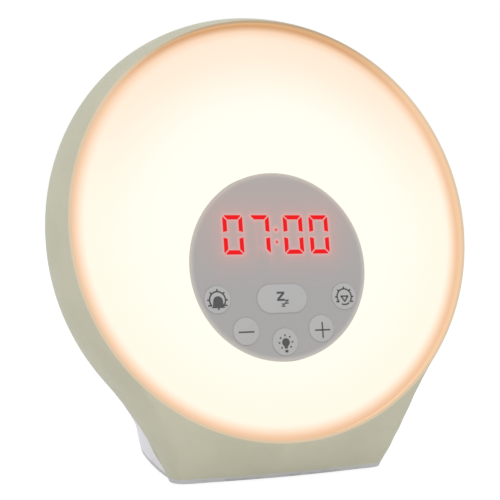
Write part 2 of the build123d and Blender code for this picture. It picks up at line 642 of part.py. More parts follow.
def key_front_edges(shape):
    """Edges round the front of a key."""
    return shape.edges().group_by(Axis.Z)[-1]


def round_key(x, rise):
    """Round key cap with the flange that holds it behind the lens."""
    cap = rod(KEY_RADIUS, FACE_RECESS - KEY_PROUD, FLANGE_BACK, x, rise)
    cap = chamfer(key_front_edges(cap), KEY_EDGE)
    return placed(cap + rod(KEY_RADIUS + KEY_FLANGE, FLANGE_FRONT, FLANGE_BACK, x, rise))


def snooze_key():
    """Long snooze key cap with its flange."""
    cap = snooze_bar(0, FACE_RECESS - KEY_PROUD, FLANGE_BACK)
    cap = chamfer(key_front_edges(cap), KEY_EDGE)
    return placed(cap + snooze_bar(KEY_FLANGE, FLANGE_FRONT, FLANGE_BACK))


def display_lens():
    """Smoke-grey disc over the display, with a hole for each key."""
    lens = rod(LENS_RADIUS, FACE_RECESS, LENS_BACK, 0, -DISPLAY_DROP)
    for x, rise in key_places().values():
        lens = lens - rod(KEY_RADIUS + KEY_CLEARANCE, FACE_RECESS - CUT_END, LENS_BACK + CUT_END, x, rise)
    return placed(lens - snooze_bar(KEY_CLEARANCE, FACE_RECESS - CUT_END, LENS_BACK + CUT_END))


def digit_places():
    """Middle of each of the four digits, across the display."""
    inner = (DIGIT_PITCH + COLON_GAP) / 2
    return [-inner - DIGIT_PITCH, -inner, inner, inner + DIGIT_PITCH]


def digit_bars(x, segments):
    """The named segments of one seven-segment digit, as flat bars."""
    front, back = LENS_BACK + SEAT_GAP, LENS_BACK + SEAT_GAP + SEGMENT_DEPTH
    middle = DIGITS_RISE - DISPLAY_DROP
    tall = DIGIT_HEIGHT / 2 - DIGIT_BAR
    wide = DIGIT_WIDTH - 2 * DIGIT_BAR
    side = (DIGIT_WIDTH - DIGIT_BAR) / 2
    lift = (DIGIT_HEIGHT - DIGIT_BAR) / 2
    bars = {
        "a": (wide, DIGIT_BAR, 0, lift), "g": (wide, DIGIT_BAR, 0, 0), "d": (wide, DIGIT_BAR, 0, -lift),
        "b": (DIGIT_BAR, tall, side, lift / 2), "c": (DIGIT_BAR, tall, side, -lift / 2),
        "e": (DIGIT_BAR, tall, -side, -lift / 2), "f": (DIGIT_BAR, tall, -side, lift / 2),
    }
    return [block(bars[name][0], bars[name][1], front, back, x + bars[name][2], middle + bars[name][3])
            for name in segments]


def clock_digits():
    """Segments and colon that are lit when the clock shows 07:00."""
    lit = []
    for x, digit in zip(digit_places(), (0, 7, 0, 0)):
        lit += digit_bars(x, LIT_SEGMENTS[digit])
    middle = DIGITS_RISE - DISPLAY_DROP
    for side in (-1, 1):
        lit.append(rod(COLON_RADIUS, LENS_BACK + SEAT_GAP, LENS_BACK + SEAT_GAP + SEGMENT_DEPTH,
                       0, middle - COLON_DROP + side * COLON_RISE))
    return placed(grouped(lit))


def unlit_segments():
    """The display's other segments."""
    dark = []
    for x, digit in zip(digit_places(), (0, 7, 0, 0)):
        dark += digit_bars(x, [name for name in "abcdefg" if name not in LIT_SEGMENTS[digit]])
    return placed(grouped(dark))


def display_module():
    """Block behind the digits that holds their light sources."""
    width = 2 * digit_places()[-1] + DIGIT_WIDTH + 2 * MODULE_MARGIN
    height = DIGIT_HEIGHT + 2 * MODULE_MARGIN
    front = LENS_BACK + SEAT_GAP + SEGMENT_DEPTH
    return placed(block(width, height, front, DISPLAY_BOARD_DEPTH, 0, DIGITS_RISE - DISPLAY_DROP))


def keypad_mat():
    """Soft mat with a dome behind each key, and a window for the display module."""
    mat = rod(CARRIER_BORE - MAT_CLEARANCE, MAT_FRONT, DISPLAY_BOARD_DEPTH, 0, -DISPLAY_DROP)
    width = 2 * digit_places()[-1] + DIGIT_WIDTH + 2 * (MODULE_MARGIN + MAT_CLEARANCE)
    height = DIGIT_HEIGHT + 2 * (MODULE_MARGIN + MAT_CLEARANCE)
    behind = DISPLAY_BOARD_DEPTH + CUT_END
    mat = mat - block(width, height, MAT_TOP, behind, 0, DIGITS_RISE - DISPLAY_DROP)
    for x, rise in display_screw_places():
        mat = mat - rod(SCREW_HEAD_RADIUS + MAT_CLEARANCE, MAT_TOP, behind, x, rise)
    domes = list(key_places().values()) + [(0, -DISPLAY_DROP - SNOOZE_DROP)]
    for x, rise in domes:
        dome = Cone(MAT_DOME_RADIUS, MAT_DOME_RADIUS / 2, MAT_FRONT - MAT_TOP, align=MID)
        mat = mat + Pos(x, rise, -MAT_FRONT) * dome
    return placed(mat)


def display_board():
    """Round board behind the display module and the mat."""
    back = DISPLAY_BOARD_DEPTH + BOARD_THICKNESS
    board = rod(CARRIER_BORE - MAT_CLEARANCE, DISPLAY_BOARD_DEPTH, back, 0, -DISPLAY_DROP)
    for x, rise in display_screw_places():
        board = board - pilot(x, rise, DISPLAY_BOARD_DEPTH - CUT_END, back + CUT_END)
    return placed(board)


def oblique(top_radius, foot_radius, front, back):
    """Leaning cone from the display's axis down to the pedestal's foot."""
    top = Pos(0, -DISPLAY_DROP, -front) * Circle(top_radius)
    foot = Pos(0, -PEDESTAL_DROP, -back) * Circle(foot_radius)
    return loft([foot, top])


def display_carrier():
    """Cup that holds lens, mat and board, on a hollow pedestal that keeps the light out of it."""
    shoulder = DIFFUSER_BACK + GASKET_THICKNESS + 2 * SEAT_GAP
    cup = rod(LENS_RADIUS - EDGE_CLEARANCE, LENS_BACK + SEAT_GAP, CARRIER_BACK, 0, -DISPLAY_DROP)
    cup = cup + rod(CARRIER_RADIUS, shoulder, CARRIER_BACK, 0, -DISPLAY_DROP)
    foot = TRAY_FLOOR_DEPTH - SEAT_GAP
    pedestal = oblique(CARRIER_RADIUS, PEDESTAL_RADIUS, CARRIER_BACK, foot)
    hollow = oblique(CARRIER_RADIUS - CARRIER_WALL, PEDESTAL_RADIUS - CARRIER_WALL, CARRIER_BACK, foot)
    body = cup - rod(CARRIER_BORE, 0, CARRIER_FLOOR_DEPTH, 0, -DISPLAY_DROP)
    body = body + (pedestal - hollow)
    for x, rise in carrier_screw_places():
        start = foot - CARRIER_SCREW_GRIP - PILOT_SPARE
        body = body + (rod(POST_RADIUS, start - CARRIER_WALL, foot, x, rise) & pedestal)
        body = body - pilot(x, rise, start, foot + CUT_END)
    for x, rise in display_screw_places():
        end = DISPLAY_BOARD_DEPTH + DISPLAY_SCREW_LENGTH + PILOT_SPARE
        body = body + (rod(POST_RADIUS, CARRIER_FLOOR_DEPTH, end + CARRIER_WALL, x, rise) & (pedestal + cup))
        body = body - pilot(x, rise, CARRIER_FLOOR_DEPTH - CUT_END, end)
    near, far = CARRIER_FLOOR_DEPTH - CUT_END, CARRIER_BACK + CUT_END
    slot = block(RIBBON_WIDTH + 2 * CUT_END, PLUG_SIZE + CUT_END, near, far, 0, RIBBON_TOP_RISE)
    return placed(body - slot)


def display_gasket():
    """Foam ring between carrier and diffuser that stops light leaking round the display."""
    front = DIFFUSER_BACK + SEAT_GAP
    outer, inner = CARRIER_RADIUS, LENS_RADIUS + 2 * EDGE_CLEARANCE
    return placed(ring(outer, inner, front, front + GASKET_THICKNESS, 0, -DISPLAY_DROP))


# ---- Electronics and sound ----
def main_board():
    """Main board, screwed to the rear housing below the speaker."""
    board = block(*MAIN_BOARD_SIZE, MAIN_BOARD_DEPTH, MAIN_BOARD_BACK, 0, -MAIN_BOARD_DROP)
    for x, rise in board_screw_places():
        board = board - pilot(x, rise, MAIN_BOARD_DEPTH - CUT_END, MAIN_BOARD_BACK + CUT_END)
    return placed(board)


def board_parts():
    """Processor, driver, coil and capacitors on the main board."""
    back = MAIN_BOARD_BACK
    blocks = [block(width, height, back, back + depth, x, rise)
              for width, height, depth, x, rise in BOARD_BLOCKS]
    cans = [rod(radius, back, back + depth, x, rise) for radius, depth, x, rise in BOARD_CANS]
    return placed(grouped(blocks + cans))


def board_sockets():
    """White sockets for the ribbon and the two leads."""
    front = MAIN_BOARD_DEPTH - SOCKET_DEPTH
    sockets = [
        block(RIBBON_WIDTH + 2 * CUT_END, PLUG_SIZE, front, MAIN_BOARD_DEPTH, 0, RIBBON_FOOT_RISE),
        block(PLUG_SIZE, PLUG_SIZE, front, MAIN_BOARD_DEPTH, LIGHT_LEAD_X, BOARD_SOCKET_RISE),
        block(PLUG_SIZE, PLUG_SIZE, front, MAIN_BOARD_DEPTH, SPEAKER_LEAD_X, BOARD_SOCKET_RISE),
    ]
    return placed(grouped(sockets))


def display_ribbon():
    """Flat cable from the display board, down through the pedestal, to the main board."""
    front, back = DISPLAY_BOARD_DEPTH + BOARD_THICKNESS, MAIN_BOARD_DEPTH - SOCKET_DEPTH
    route = [(RIBBON_TOP_RISE, front), (RIBBON_TOP_RISE, front + RIBBON_RUN),
             (RIBBON_FOOT_RISE, back - RIBBON_RUN), (RIBBON_FOOT_RISE, back)]
    path = FilletPolyline(*[(0, rise, -depth) for rise, depth in route], radius=RIBBON_BEND)
    start = Plane(origin=(0, RIBBON_TOP_RISE, -front), z_dir=(0, 0, -1))
    return placed(sweep(start * Rectangle(RIBBON_WIDTH, RIBBON_THICKNESS), path=path))


def lead(points, bends):
    """Round twin lead along straight runs joined by arcs."""
    path = FilletPolyline(*[(x, rise, -depth) for x, rise, depth in points], radius=bends)
    start = Vector(*path.position_at(0))
    section = Plane(origin=start, z_dir=path.tangent_at(0)) * RegularPolygon(LEAD_RADIUS, 6)
    return placed(sweep(section, path=path))


def light_lead():
    """Lead from the light board, through the tray's floor, to the main board."""
    front = TRAY_FLOOR_DEPTH - SEAT_GAP - BOARD_THICKNESS - LEAD_RADIUS - SEAT_GAP
    back = MAIN_BOARD_DEPTH - SOCKET_DEPTH
    reach = LIGHT_BOARD_INNER + LEAD_RADIUS
    return lead([(reach * LIGHT_LEAD_TURN[0], reach * LIGHT_LEAD_TURN[1], front),
                 (LIGHT_LEAD_X, LIGHT_LEAD_RISE, front),
                 (LIGHT_LEAD_X, LIGHT_LEAD_RISE, back)], LEAD_BEND)


def speaker_lead():
    """Lead from the speaker's basket to the main board."""
    side = SPEAKER_BASKET_RADIUS + LEAD_RADIUS + SEAT_GAP
    back = MAIN_BOARD_DEPTH - SOCKET_DEPTH
    end = BOARD_SOCKET_RISE + PLUG_SIZE / 2
    return lead([(-side, SPEAKER_RISE, SPEAKER_FLANGE_DEPTH - SEAT_GAP - LEAD_RADIUS),
                 (SPEAKER_LEAD_X, SPEAKER_RISE, back - SOCKET_DEPTH / 2),
                 (SPEAKER_LEAD_X, end, back + SOCKET_DEPTH / 2)], 2 * LEAD_BEND)


def speaker_frame():
    """Pressed basket of the speaker, with its flange."""
    back = SPEAKER_FLANGE_DEPTH - SPEAKER_BASKET_DEPTH
    flange = ring(SPEAKER_RADIUS, SPEAKER_BASKET_RADIUS - SHEET, SPEAKER_FLANGE_DEPTH,
                  SPEAKER_FLANGE_DEPTH + SPEAKER_FLANGE, 0, SPEAKER_RISE)
    bore = SPEAKER_BASKET_RADIUS - SHEET
    front = Pos(0, SPEAKER_RISE, -SPEAKER_FLANGE_DEPTH)
    cup = front * Cone(SPEAKER_BASKET_RADIUS, SPEAKER_MAGNET_RADIUS, SPEAKER_BASKET_DEPTH, align=MID)
    hollow = front * Cone(bore, SPEAKER_MAGNET_RADIUS - SHEET, SPEAKER_BASKET_DEPTH - SHEET, align=MID)
    frame = flange + (cup - hollow)
    return placed(frame)


def speaker_magnet():
    """Magnet on the back of the basket."""
    near = SPEAKER_FLANGE_DEPTH - SPEAKER_BASKET_DEPTH - SEAT_GAP
    magnet = rod(SPEAKER_MAGNET_RADIUS - SHEET, near - SPEAKER_MAGNET_DEPTH, near, 0, SPEAKER_RISE)
    return placed(chamfer(magnet.edges(), SHEET / 2))


def speaker_cone():
    """Paper cone with its dust cap, which faces the grille."""
    outer = SPEAKER_BASKET_RADIUS - SHEET - 2 * EDGE_CLEARANCE
    cap = outer / 3
    deep = SPEAKER_FLANGE_DEPTH - SPEAKER_BASKET_DEPTH + 2 * SHEET
    front = SPEAKER_FLANGE_DEPTH + SPEAKER_FLANGE - SHEET
    profile = Polyline((cap, -deep), (outer - 2, -front), (outer, -front), (outer, -front - SHEET),
                       (outer - 2.5, -front - SHEET), (cap, -deep - 2 * SHEET), (0, -deep - 3 * SHEET),
                       (0, -deep - 2 * SHEET), (cap - SHEET, -deep), close=True)
    face = make_face(Plane.XZ * profile)
    return placed(Pos(0, SPEAKER_RISE, 0) * revolve(face, Axis.Z))


def speaker_gasket():
    """Foam ring between the speaker's flange and its seat."""
    near = SPEAKER_FLANGE_DEPTH + SPEAKER_FLANGE + SEAT_GAP
    return placed(ring(SPEAKER_RADIUS, SPEAKER_BASKET_RADIUS, near, near + SPEAKER_GASKET, 0, SPEAKER_RISE))


def power_inlet():
    """Barrel socket on the main board whose nose shows at the back."""
    body = block(INLET_BODY, INLET_BODY, MAIN_BOARD_BACK, INLET_BODY_BACK, 0, -INLET_DROP)
    nose = rod(INLET_NOSE_RADIUS, INLET_BODY_BACK, INLET_FACE_DEPTH, 0, -INLET_DROP)
    mouth = INLET_FACE_DEPTH - INLET_HOLE_DEPTH
    hole = rod(INLET_HOLE_RADIUS, mouth, INLET_FACE_DEPTH + CUT_END, 0, -INLET_DROP)
    pin = rod(INLET_PIN_RADIUS, mouth - INLET_WELD, INLET_FACE_DEPTH - INLET_PIN_RADIUS, 0, -INLET_DROP)
    return placed(body + nose - hole + pin)


# ---- Fasteners and feet ----
def housing_screws():
    length = HOUSING_SEAT + HOUSING_SCREW_GRIP
    screws = [screw_from_back(x, rise, joint_depth(rise) + HOUSING_SEAT, length)
              for x, rise in housing_screw_places()]
    return placed(grouped(screws))


def tray_screws():
    screws = [screw_from_front(x, rise, TRAY_FLOOR_DEPTH, TRAY_SCREW_LENGTH)
              for x, rise in tray_screw_places()]
    return placed(grouped(screws))


def carrier_screws():
    length = TRAY_WALL + CARRIER_SCREW_GRIP
    screws = [screw_from_back(x, rise, TRAY_BACK, length) for x, rise in carrier_screw_places()]
    return placed(grouped(screws))


def display_screws():
    screws = [screw_from_front(x, rise, DISPLAY_BOARD_DEPTH, DISPLAY_SCREW_LENGTH)
              for x, rise in display_screw_places()]
    return placed(grouped(screws))


def board_screws():
    screws = [screw_from_front(x, rise, MAIN_BOARD_DEPTH, BOARD_SCREW_LENGTH)
              for x, rise in board_screw_places()]
    return placed(grouped(screws))


def base_screws():
    seat = PLATE_BOTTOM + SCREW_HEAD
    length = PLATE_TOP + BASE_SCREW_GRIP - seat
    return grouped([Pos(x, y, seat) * (Rot(180, 0, 0) * screw(length)) for x, y in base_screw_places()])


def foot_pad(x, y):
    """Rubber foot seated in the base plate."""
    return upright(FOOT_PAD_RADIUS, 0, PLATE_BOTTOM + FOOT_PAD_SEAT, x, y)


def pieces():
    """Every separate piece of the clock, by its node's name."""
    made = {
        "front_shell": front_shell(), "rear_housing": rear_housing(), "base_plate": base_plate(),
        "diffuser": diffuser(), "light_tray": light_tray(), "light_board": light_board(),
        "light_diodes": light_diodes(), "display_lens": display_lens(), "clock_digits": clock_digits(),
        "unlit_segments": unlit_segments(), "display_module": display_module(), "keypad_mat": keypad_mat(),
        "display_board": display_board(), "display_carrier": display_carrier(),
        "display_gasket": display_gasket(), "key_snooze": snooze_key(), "main_board": main_board(),
        "board_parts": board_parts(), "board_sockets": board_sockets(), "display_ribbon": display_ribbon(),
        "light_lead": light_lead(), "speaker_lead": speaker_lead(), "speaker_frame": speaker_frame(),
        "speaker_magnet": speaker_magnet(), "speaker_cone": speaker_cone(),
        "speaker_gasket": speaker_gasket(), "power_inlet": power_inlet(), "housing_screws": housing_screws(),
        "tray_screws": tray_screws(), "carrier_screws": carrier_screws(), "display_screws": display_screws(),
        "board_screws": board_screws(), "base_screws": base_screws(),
    }
    for name, (x, rise) in key_places().items():
        made["key_" + name] = round_key(x, rise)
    for name, (x, y) in zip(FOOT_NAMES, foot_pad_places()):
        made["foot_" + name] = foot_pad(x, y)
    return made


for node, shape in pieces().items():
    shape.label = node
    export_step(shape, f"parts/{node}.step")
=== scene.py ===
import json
from math import cos, pi, radians, sin, sqrt

import bmesh
import bpy
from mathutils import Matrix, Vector

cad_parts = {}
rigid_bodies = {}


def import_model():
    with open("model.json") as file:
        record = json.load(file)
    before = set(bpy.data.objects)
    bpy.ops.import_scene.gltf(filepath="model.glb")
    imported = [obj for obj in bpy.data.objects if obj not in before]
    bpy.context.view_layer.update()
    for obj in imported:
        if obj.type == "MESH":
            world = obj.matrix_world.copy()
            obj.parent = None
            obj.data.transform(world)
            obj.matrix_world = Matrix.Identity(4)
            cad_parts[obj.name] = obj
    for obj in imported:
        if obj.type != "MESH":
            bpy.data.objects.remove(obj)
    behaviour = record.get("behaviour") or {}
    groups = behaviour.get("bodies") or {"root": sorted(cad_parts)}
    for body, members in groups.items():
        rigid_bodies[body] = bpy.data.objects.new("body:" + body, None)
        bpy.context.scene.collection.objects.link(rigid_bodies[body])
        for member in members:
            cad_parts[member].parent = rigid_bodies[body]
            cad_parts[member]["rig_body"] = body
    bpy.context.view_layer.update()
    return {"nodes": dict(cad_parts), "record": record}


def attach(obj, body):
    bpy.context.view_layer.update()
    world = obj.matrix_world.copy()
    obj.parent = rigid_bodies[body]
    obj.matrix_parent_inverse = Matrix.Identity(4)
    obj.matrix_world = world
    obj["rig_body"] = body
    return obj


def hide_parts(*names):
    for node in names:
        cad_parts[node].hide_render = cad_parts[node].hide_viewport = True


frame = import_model()

MM = 0.001
MERGE_REACH = 1e-6          # points of a mesh closer than this, in metres, are one
END_BAND = 0.0001           # points this close to a screw's end, in metres, belong to it
CURVE_ANGLE = 30            # edges of the CAD's curves sharper than this, in degrees, stay sharp
ROUNDING_ANGLE = 35         # the same on pieces with a stepped rounding
ROUNDING_STEPS = (0, 30, 60, 90)
DIAGONAL = sqrt(0.5)

# ---- Sizes in millimetres ----
FACE_TILT = radians(10.5)   # lean of the round face
FACE_HEIGHT = 96.5          # middle of the face above the table
LIP_RADIUS = 82.5           # outer edge of the front lip
HEEL_END = 100.0            # heel's rear edge behind the middle of the face
FACE_RECESS = 3.3           # the lit plate and the display sit this far behind the lip
DIFFUSER_RADIUS = 81.876    # outer edge of the lit plate
RIM_BAND = 0.05             # the plate's points this near to its edge
RIM_SPREAD = 0.2            # are moved outwards by this much
DISPLAY_DROP = 15.1         # middle of the display below the middle of the face
LENS_RADIUS = 36.7
LENS_THICKNESS = 2.0
SEAT_GAP = 0.05             # between a key's flange and the display disc
KEY_CIRCLE = 29.3           # the five round keys lie on this radius about the display
KEY_SPREAD = 32.5           # degrees from one round key to the next
KEY_RADIUS = 5.3
KEY_PROUD = 0.3             # keys stand proud of the disc
KEY_EDGE = 0.25             # rounding of the front edge
KEY_GAP = 0.04              # visible gap round each key
KEY_FLANGE = 0.7            # the flange's width and its thickness
KEY_SIDES = 64
DISC_SIDES = 192
SNOOZE_LENGTH = 20.9
SNOOZE_HEIGHT = 11.2
SNOOZE_DROP = 12.6          # long key's middle below the middle of the display
DIGIT_HEIGHT = 15.2
DIGIT_WIDTH = 8.1
DIGIT_PITCH = 11.05
DIGIT_BAR = 1.6
DIGIT_CORNER = 0.9          # the outer corners of the digits are cut off by this much
CORNER_GAP = 0.6            # between two bars of a digit, at its corners
MIDDLE_GAP = 2.2            # between the upper and lower bars, at the outer edge
MIDDLE_SLOPE = 0.25         # and this gap widens inwards
COLON_GAP = 3.05            # the middle pitch is wider by this, for the colon
COLON_RISE = 2.4            # each dot from the middle of the colon
COLON_DROP = 0.5            # middle of the colon below the middle of the digits
COLON_RADIUS = 0.7
DIGITS_RISE = 12.35         # middle of the digits above the middle of the display
DIGITS_SHIFT = -0.2         # the digits sit this far to the left, and the colon twice as far
PRINT_HEIGHT = 0.03         # how far an icon's print stands off its key
PRINT_ROOT = 0.05           # and how far it reaches into the key
STROKE = 0.6                # width of the lines of the icons
ARC_STEPS = 28
SCREW_RADIUS = 1.3
SCREW_HEAD_RADIUS = 2.6
SCREW_HEAD = 1.2
SCREW_EDGE = 0.45           # rounding of the head
SCREW_POINT = 1.0           # bare length in front of the tip
SCREW_TIP = 0.5
SCREW_SIDES = 24
THREAD_PITCH = 0.5
THREAD_DEPTH = 0.22
CROSS_HALF_WIDTH = 0.32
CROSS_REACH = 1.35
CROSS_DEPTH = 0.85
CROSS_ABOVE = 0.3           # the cutting shape starts this far over the head
CROSS_TAPER = 0.6           # share of its width at the bottom

FACE_Y = (HEEL_END + LIP_RADIUS * sin(FACE_TILT)) / 2 - HEEL_END
FACE_AXIS = Vector((0, cos(FACE_TILT), -sin(FACE_TILT)))
KEY_FRONT = FACE_RECESS - KEY_PROUD
LENS_BACK = FACE_RECESS + LENS_THICKNESS
FLANGE_FRONT = LENS_BACK + SEAT_GAP
FLANGE_BACK = FLANGE_FRONT + KEY_FLANGE

# ---- Numbers of the finishes: places are in millimetres, from one value to another ----
GRAIN_DETAIL = 2.0
GRAIN_ROUGHNESS = 0.55
GRAIN_RANGE = (0.2, 0.8)            # of the noise, over which the gloss changes
METAL_GRAIN = (0.2, 0.004)          # size and height
CLOUD_SCALE = 60
CLOUD_DETAIL = 3.0
CLOUD_RANGE = (0.35, 0.65)
CLOUD_DARKENING = 0.03
OPAL_FADE = (42, 77)                # from the face's middle, where the white turns warm
OPAL_RIM = (75.5, 80.2)             # where it turns apricot
OPAL_EDGE = (78.6, 81.6)            # and where it turns tan
OPAL_WARM_RISE = (-5, 70)           # up the face, where the warm white turns peach
OPAL_TAN_RISE = (45, 80)            # and where the tan darkens with painted shade of the lip
OPAL_LIGHT = 0.88
OPAL_DARKENING = 0.9                # of the lit surface's own colour
DISC_WARM_RISE = (-8, 22)           # up the disc, where its grey turns warm
# Painted light: the disc's rim turns pale with the light of the lit plate round it
DISC_EDGE = (LENS_RADIUS - 2.2, LENS_RADIUS)
DISC_GLOW_SHARE = 0.38
DIGIT_GLOW_SHARE = 0.55                   # painted light: the digits' pink glow in the disc's colour about them
DIGIT_GLOW_FALL = -0.24
HALO_SHARE = 0.30                   # pink light about the digits
HALO_FALL = -2.0
FALL_BASE = 2.718
BAR_EDGE = (-0.08, 0.26)            # soft edge of a lit bar
DOT_EDGE = (-0.3, 0.2)              # and of a dot of the colon
DOT_LIGHT = 0.85
# Painted light on the front shell: the lip and throat drawn glowing tan with the lit face's light
LIP_GLOW = (LIP_RADIUS - 0.05, LIP_RADIUS + 0.35)
THROAT_DEPTH = (0.1, 0.7)           # back from the lip, where its inner side starts
LIP_HIGH_RISE = (50, 82)            # up the face, where the lip's painted glow turns darker with painted shade
LIP_LOW_SHARE = 0.58
LIP_DARKENING = 0.85
LIP_LIGHT = 0.9

# ---- Stage, light and camera, in metres ----
FLOOR_SIZE = 6.0
FLOOR_WHITE = 0.8                   # share of plain white where the floor is seen directly
FLOOR_LIFT = 0.1                    # and a little light on top
WORLD_LIGHT = 0.90
CLOCK_MIDDLE = (0, 0, 0.09)
CLOCK_FOOT = (0, 0, 0.02)
LAMPS = (("lamp_above", (-0.3, -0.5, 1.2), CLOCK_MIDDLE, 0.8, 1.5),
         ("lamp_left", (-1.1, -0.7, 0.5), CLOCK_MIDDLE, 0.8, 0.5),
         ("lamp_low", (-0.1, -0.9, 0.06), CLOCK_FOOT, 0.5, 1.0))
CAMERA_PLACE = (-0.17745, -0.44883, 0.09903)
CAMERA_FORWARD = (0.37591, 0.92628, -0.0265)
CAMERA_LENS = 82.8
CAMERA_SENSOR = 36
BLACK = (0, 0, 0, 1)
WHITE = (1, 1, 1, 1)
FLOOR_GREY = (0.9, 0.9, 0.9, 1)
# near-black sage under the painted glow on the lip
UNDER_GLOW = (0.02, 0.012, 0.008, 1)


def on_face(x, rise, depth):
    """Place in millimetres from x to the right, rise up the face and depth back from the lip."""
    return Vector((x, FACE_Y + rise * sin(FACE_TILT) + depth * cos(FACE_TILT),
                   FACE_HEIGHT + rise * cos(FACE_TILT) - depth * sin(FACE_TILT)))


# ---- Mesh tools ----
def made(name, data):
    """New object in the scene that holds a mesh, a light or a camera."""
    obj = bpy.data.objects.new(name, data)
    bpy.context.scene.collection.objects.link(obj)
    return obj


def smooth(obj, angle):
    """Smooth shading that keeps edges sharper than an angle in degrees."""
    obj.data.shade_smooth()
    obj.data.set_sharp_from_angle(angle=radians(angle))


def mesh_from(bm, name):
    """Named mesh from mesh data, which is freed."""
    mesh = bpy.data.meshes.new(name)
    bm.to_mesh(mesh)
    bm.free()
    return mesh


def closed(bm, name):
    """New object from mesh data, faces outward."""
    bmesh.ops.recalc_face_normals(bm, faces=bm.faces)
    return made(name, mesh_from(bm, name))


def merged(node):
    """Mesh data of a CAD node, with its shared points merged."""
    bm = bmesh.new()
    bm.from_mesh(frame["nodes"][node].data)
    bmesh.ops.remove_doubles(bm, verts=bm.verts, dist=MERGE_REACH)
    return bm


def loop(bm, outline, depth):
    """Points of an outline on the face, at a depth."""
    return [bm.verts.new(on_face(x, rise, depth) * MM) for x, rise in outline]


def wall(bm, first, second):
    """Faces between two loops of the same length."""
    for i in range(len(first)):
        j = (i + 1) % len(first)
        bm.faces.new((first[i], first[j], second[j], second[i]))


def skin(bm, loops):
    """Walls from each loop to the next, and a flat face at both ends."""
    for first, second in zip(loops, loops[1:]):
        wall(bm, first, second)
    bm.faces.new(loops[0])
    bm.faces.new(loops[-1][::-1])


def rounded(radius, edge):
    """Reach and depth of each step of a rounded front edge."""
    turns = [radians(angle) for angle in ROUNDING_STEPS]
    return [(radius - edge * (1 - sin(t)), edge * (1 - cos(t))) for t in turns]


def prisms(name, outlines, near, far):
    """Flat solids from outlines on the face, between two depths."""
    bm = bmesh.new()
    for outline in outlines:
        front, back = loop(bm, outline, near), loop(bm, outline, far)
        bm.faces.new(front)
        bm.faces.new(back[::-1])
        wall(bm, back, front)
    return closed(bm, name)


def applied(obj):
    """Turn an object with modifiers into a plain mesh."""
    bpy.context.view_layer.update()
    mesh = bpy.data.meshes.new_from_object(obj.evaluated_get(bpy.context.evaluated_depsgraph_get()))
    obj.modifiers.clear()
    obj.data = mesh


def close_gap(bm):
    """Widen the lit plate's rim a little, so that no dark line shows between it and the shell."""
    middle = on_face(0, 0, 0) * MM
    for vert in bm.verts:
        from_axis = vert.co - middle
        from_axis -= FACE_AXIS * from_axis.dot(FACE_AXIS)
        if from_axis.length > (DIFFUSER_RADIUS - RIM_BAND) * MM:
            vert.co += from_axis.normalized() * RIM_SPREAD * MM


def dressed(node, finish):
    """A CAD node's own shape with smooth curves, in a finish."""
    bm = merged(node)
    if node == "diffuser":
        close_gap(bm)
    obj = made(node + "_body", mesh_from(bm, node + "_body"))
    obj.data.materials.append(finish)
    smooth(obj, CURVE_ANGLE)
    return obj


# ---- Node tools for the finishes ----
def new_finish(name):
    """Empty material; returns it and its node tree."""
    finish = bpy.data.materials.new(name)
    finish.use_nodes = True
    finish.node_tree.nodes.clear()
    return finish, finish.node_tree


def put(tree, kind, values, **settings):
    """Add a node with its settings and its inputs, each a socket or a constant."""
    added = tree.nodes.new(kind)
    for key, value in settings.items():
        setattr(added, key, value)
    for key, value in values.items():
        if isinstance(value, bpy.types.NodeSocket):
            tree.links.new(value, added.inputs[key])
        else:
            added.inputs[key].default_value = value
    return added


def calc(tree, operation, first, second=0.0):
    """One step of arithmetic."""
    return put(tree, "ShaderNodeMath", {0: first, 1: second}, operation=operation).outputs[0]


def largest(tree, value, *others):
    """Largest of some values."""
    for other in others:
        value = calc(tree, "MAXIMUM", value, other)
    return value


def negative(tree, value):
    """A value with its sign turned."""
    return calc(tree, "MULTIPLY", value, -1)


def off(tree, value, middle):
    """Distance of a value from a middle."""
    return calc(tree, "ABSOLUTE", calc(tree, "SUBTRACT", value, middle))


def distance(tree, first, second):
    """Length of a line from its two parts."""
    squares = [calc(tree, "MULTIPLY", part, part) for part in (first, second)]
    return calc(tree, "SQRT", calc(tree, "ADD", *squares))


def ramp(tree, value, low, high, start=0.0, end=1.0):
    """Soft step from start to end while the value goes from low to high."""
    inputs = {"Value": value, "From Min": low, "From Max": high, "To Min": start, "To Max": end}
    return put(tree, "ShaderNodeMapRange", inputs, interpolation_type="SMOOTHSTEP").outputs["Result"]


def blended(tree, share, first, second):
    """Mix of two colours."""
    return put(tree, "ShaderNodeMix", {0: share, 6: first, 7: second}, data_type="RGBA").outputs[2]


def rgb(red, green, blue):
    """Colour from screen values of 0 to 255."""
    def linear(value):
        value = value / 255
        return value / 12.92 if value <= 0.04045 else ((value + 0.055) / 1.055) ** 2.4
    return (linear(red), linear(green), linear(blue), 1.0)


def object_place(tree):
    """Place on the object, in metres."""
    return put(tree, "ShaderNodeTexCoord", {}).outputs["Object"]


def face_place(tree):
    """Place on the face in millimetres: x, depth and rise."""
    middle = on_face(0, 0, 0)
    depth = middle.y * cos(FACE_TILT) - middle.z * sin(FACE_TILT)
    rise = middle.y * sin(FACE_TILT) + middle.z * cos(FACE_TILT)
    turn = put(tree, "ShaderNodeMapping", {
        "Vector": object_place(tree), "Scale": (1 / MM, 1 / MM, 1 / MM),
        "Rotation": (FACE_TILT, 0, 0), "Location": (0, -depth, -rise)}, vector_type="POINT")
    return put(tree, "ShaderNodeSeparateXYZ", {0: turn.outputs[0]}).outputs[:3]


def grain(tree, size, height):
    """Fine bump of a moulded surface, from a grain size and a height in millimetres; and its noise."""
    noise = put(tree, "ShaderNodeTexNoise", {
        "Vector": object_place(tree), "Scale": 1 / (size * MM), "Detail": GRAIN_DETAIL,
        "Roughness": GRAIN_ROUGHNESS}).outputs[0]
    bump = put(tree, "ShaderNodeBump", {"Height": noise, "Distance": height * MM, "Strength": 1.0})
    return bump.outputs[0], noise


def uneven(tree, noise, roughness, spread):
    """Roughness that follows the grain."""
    return ramp(tree, noise, *GRAIN_RANGE, roughness - spread, roughness + spread)


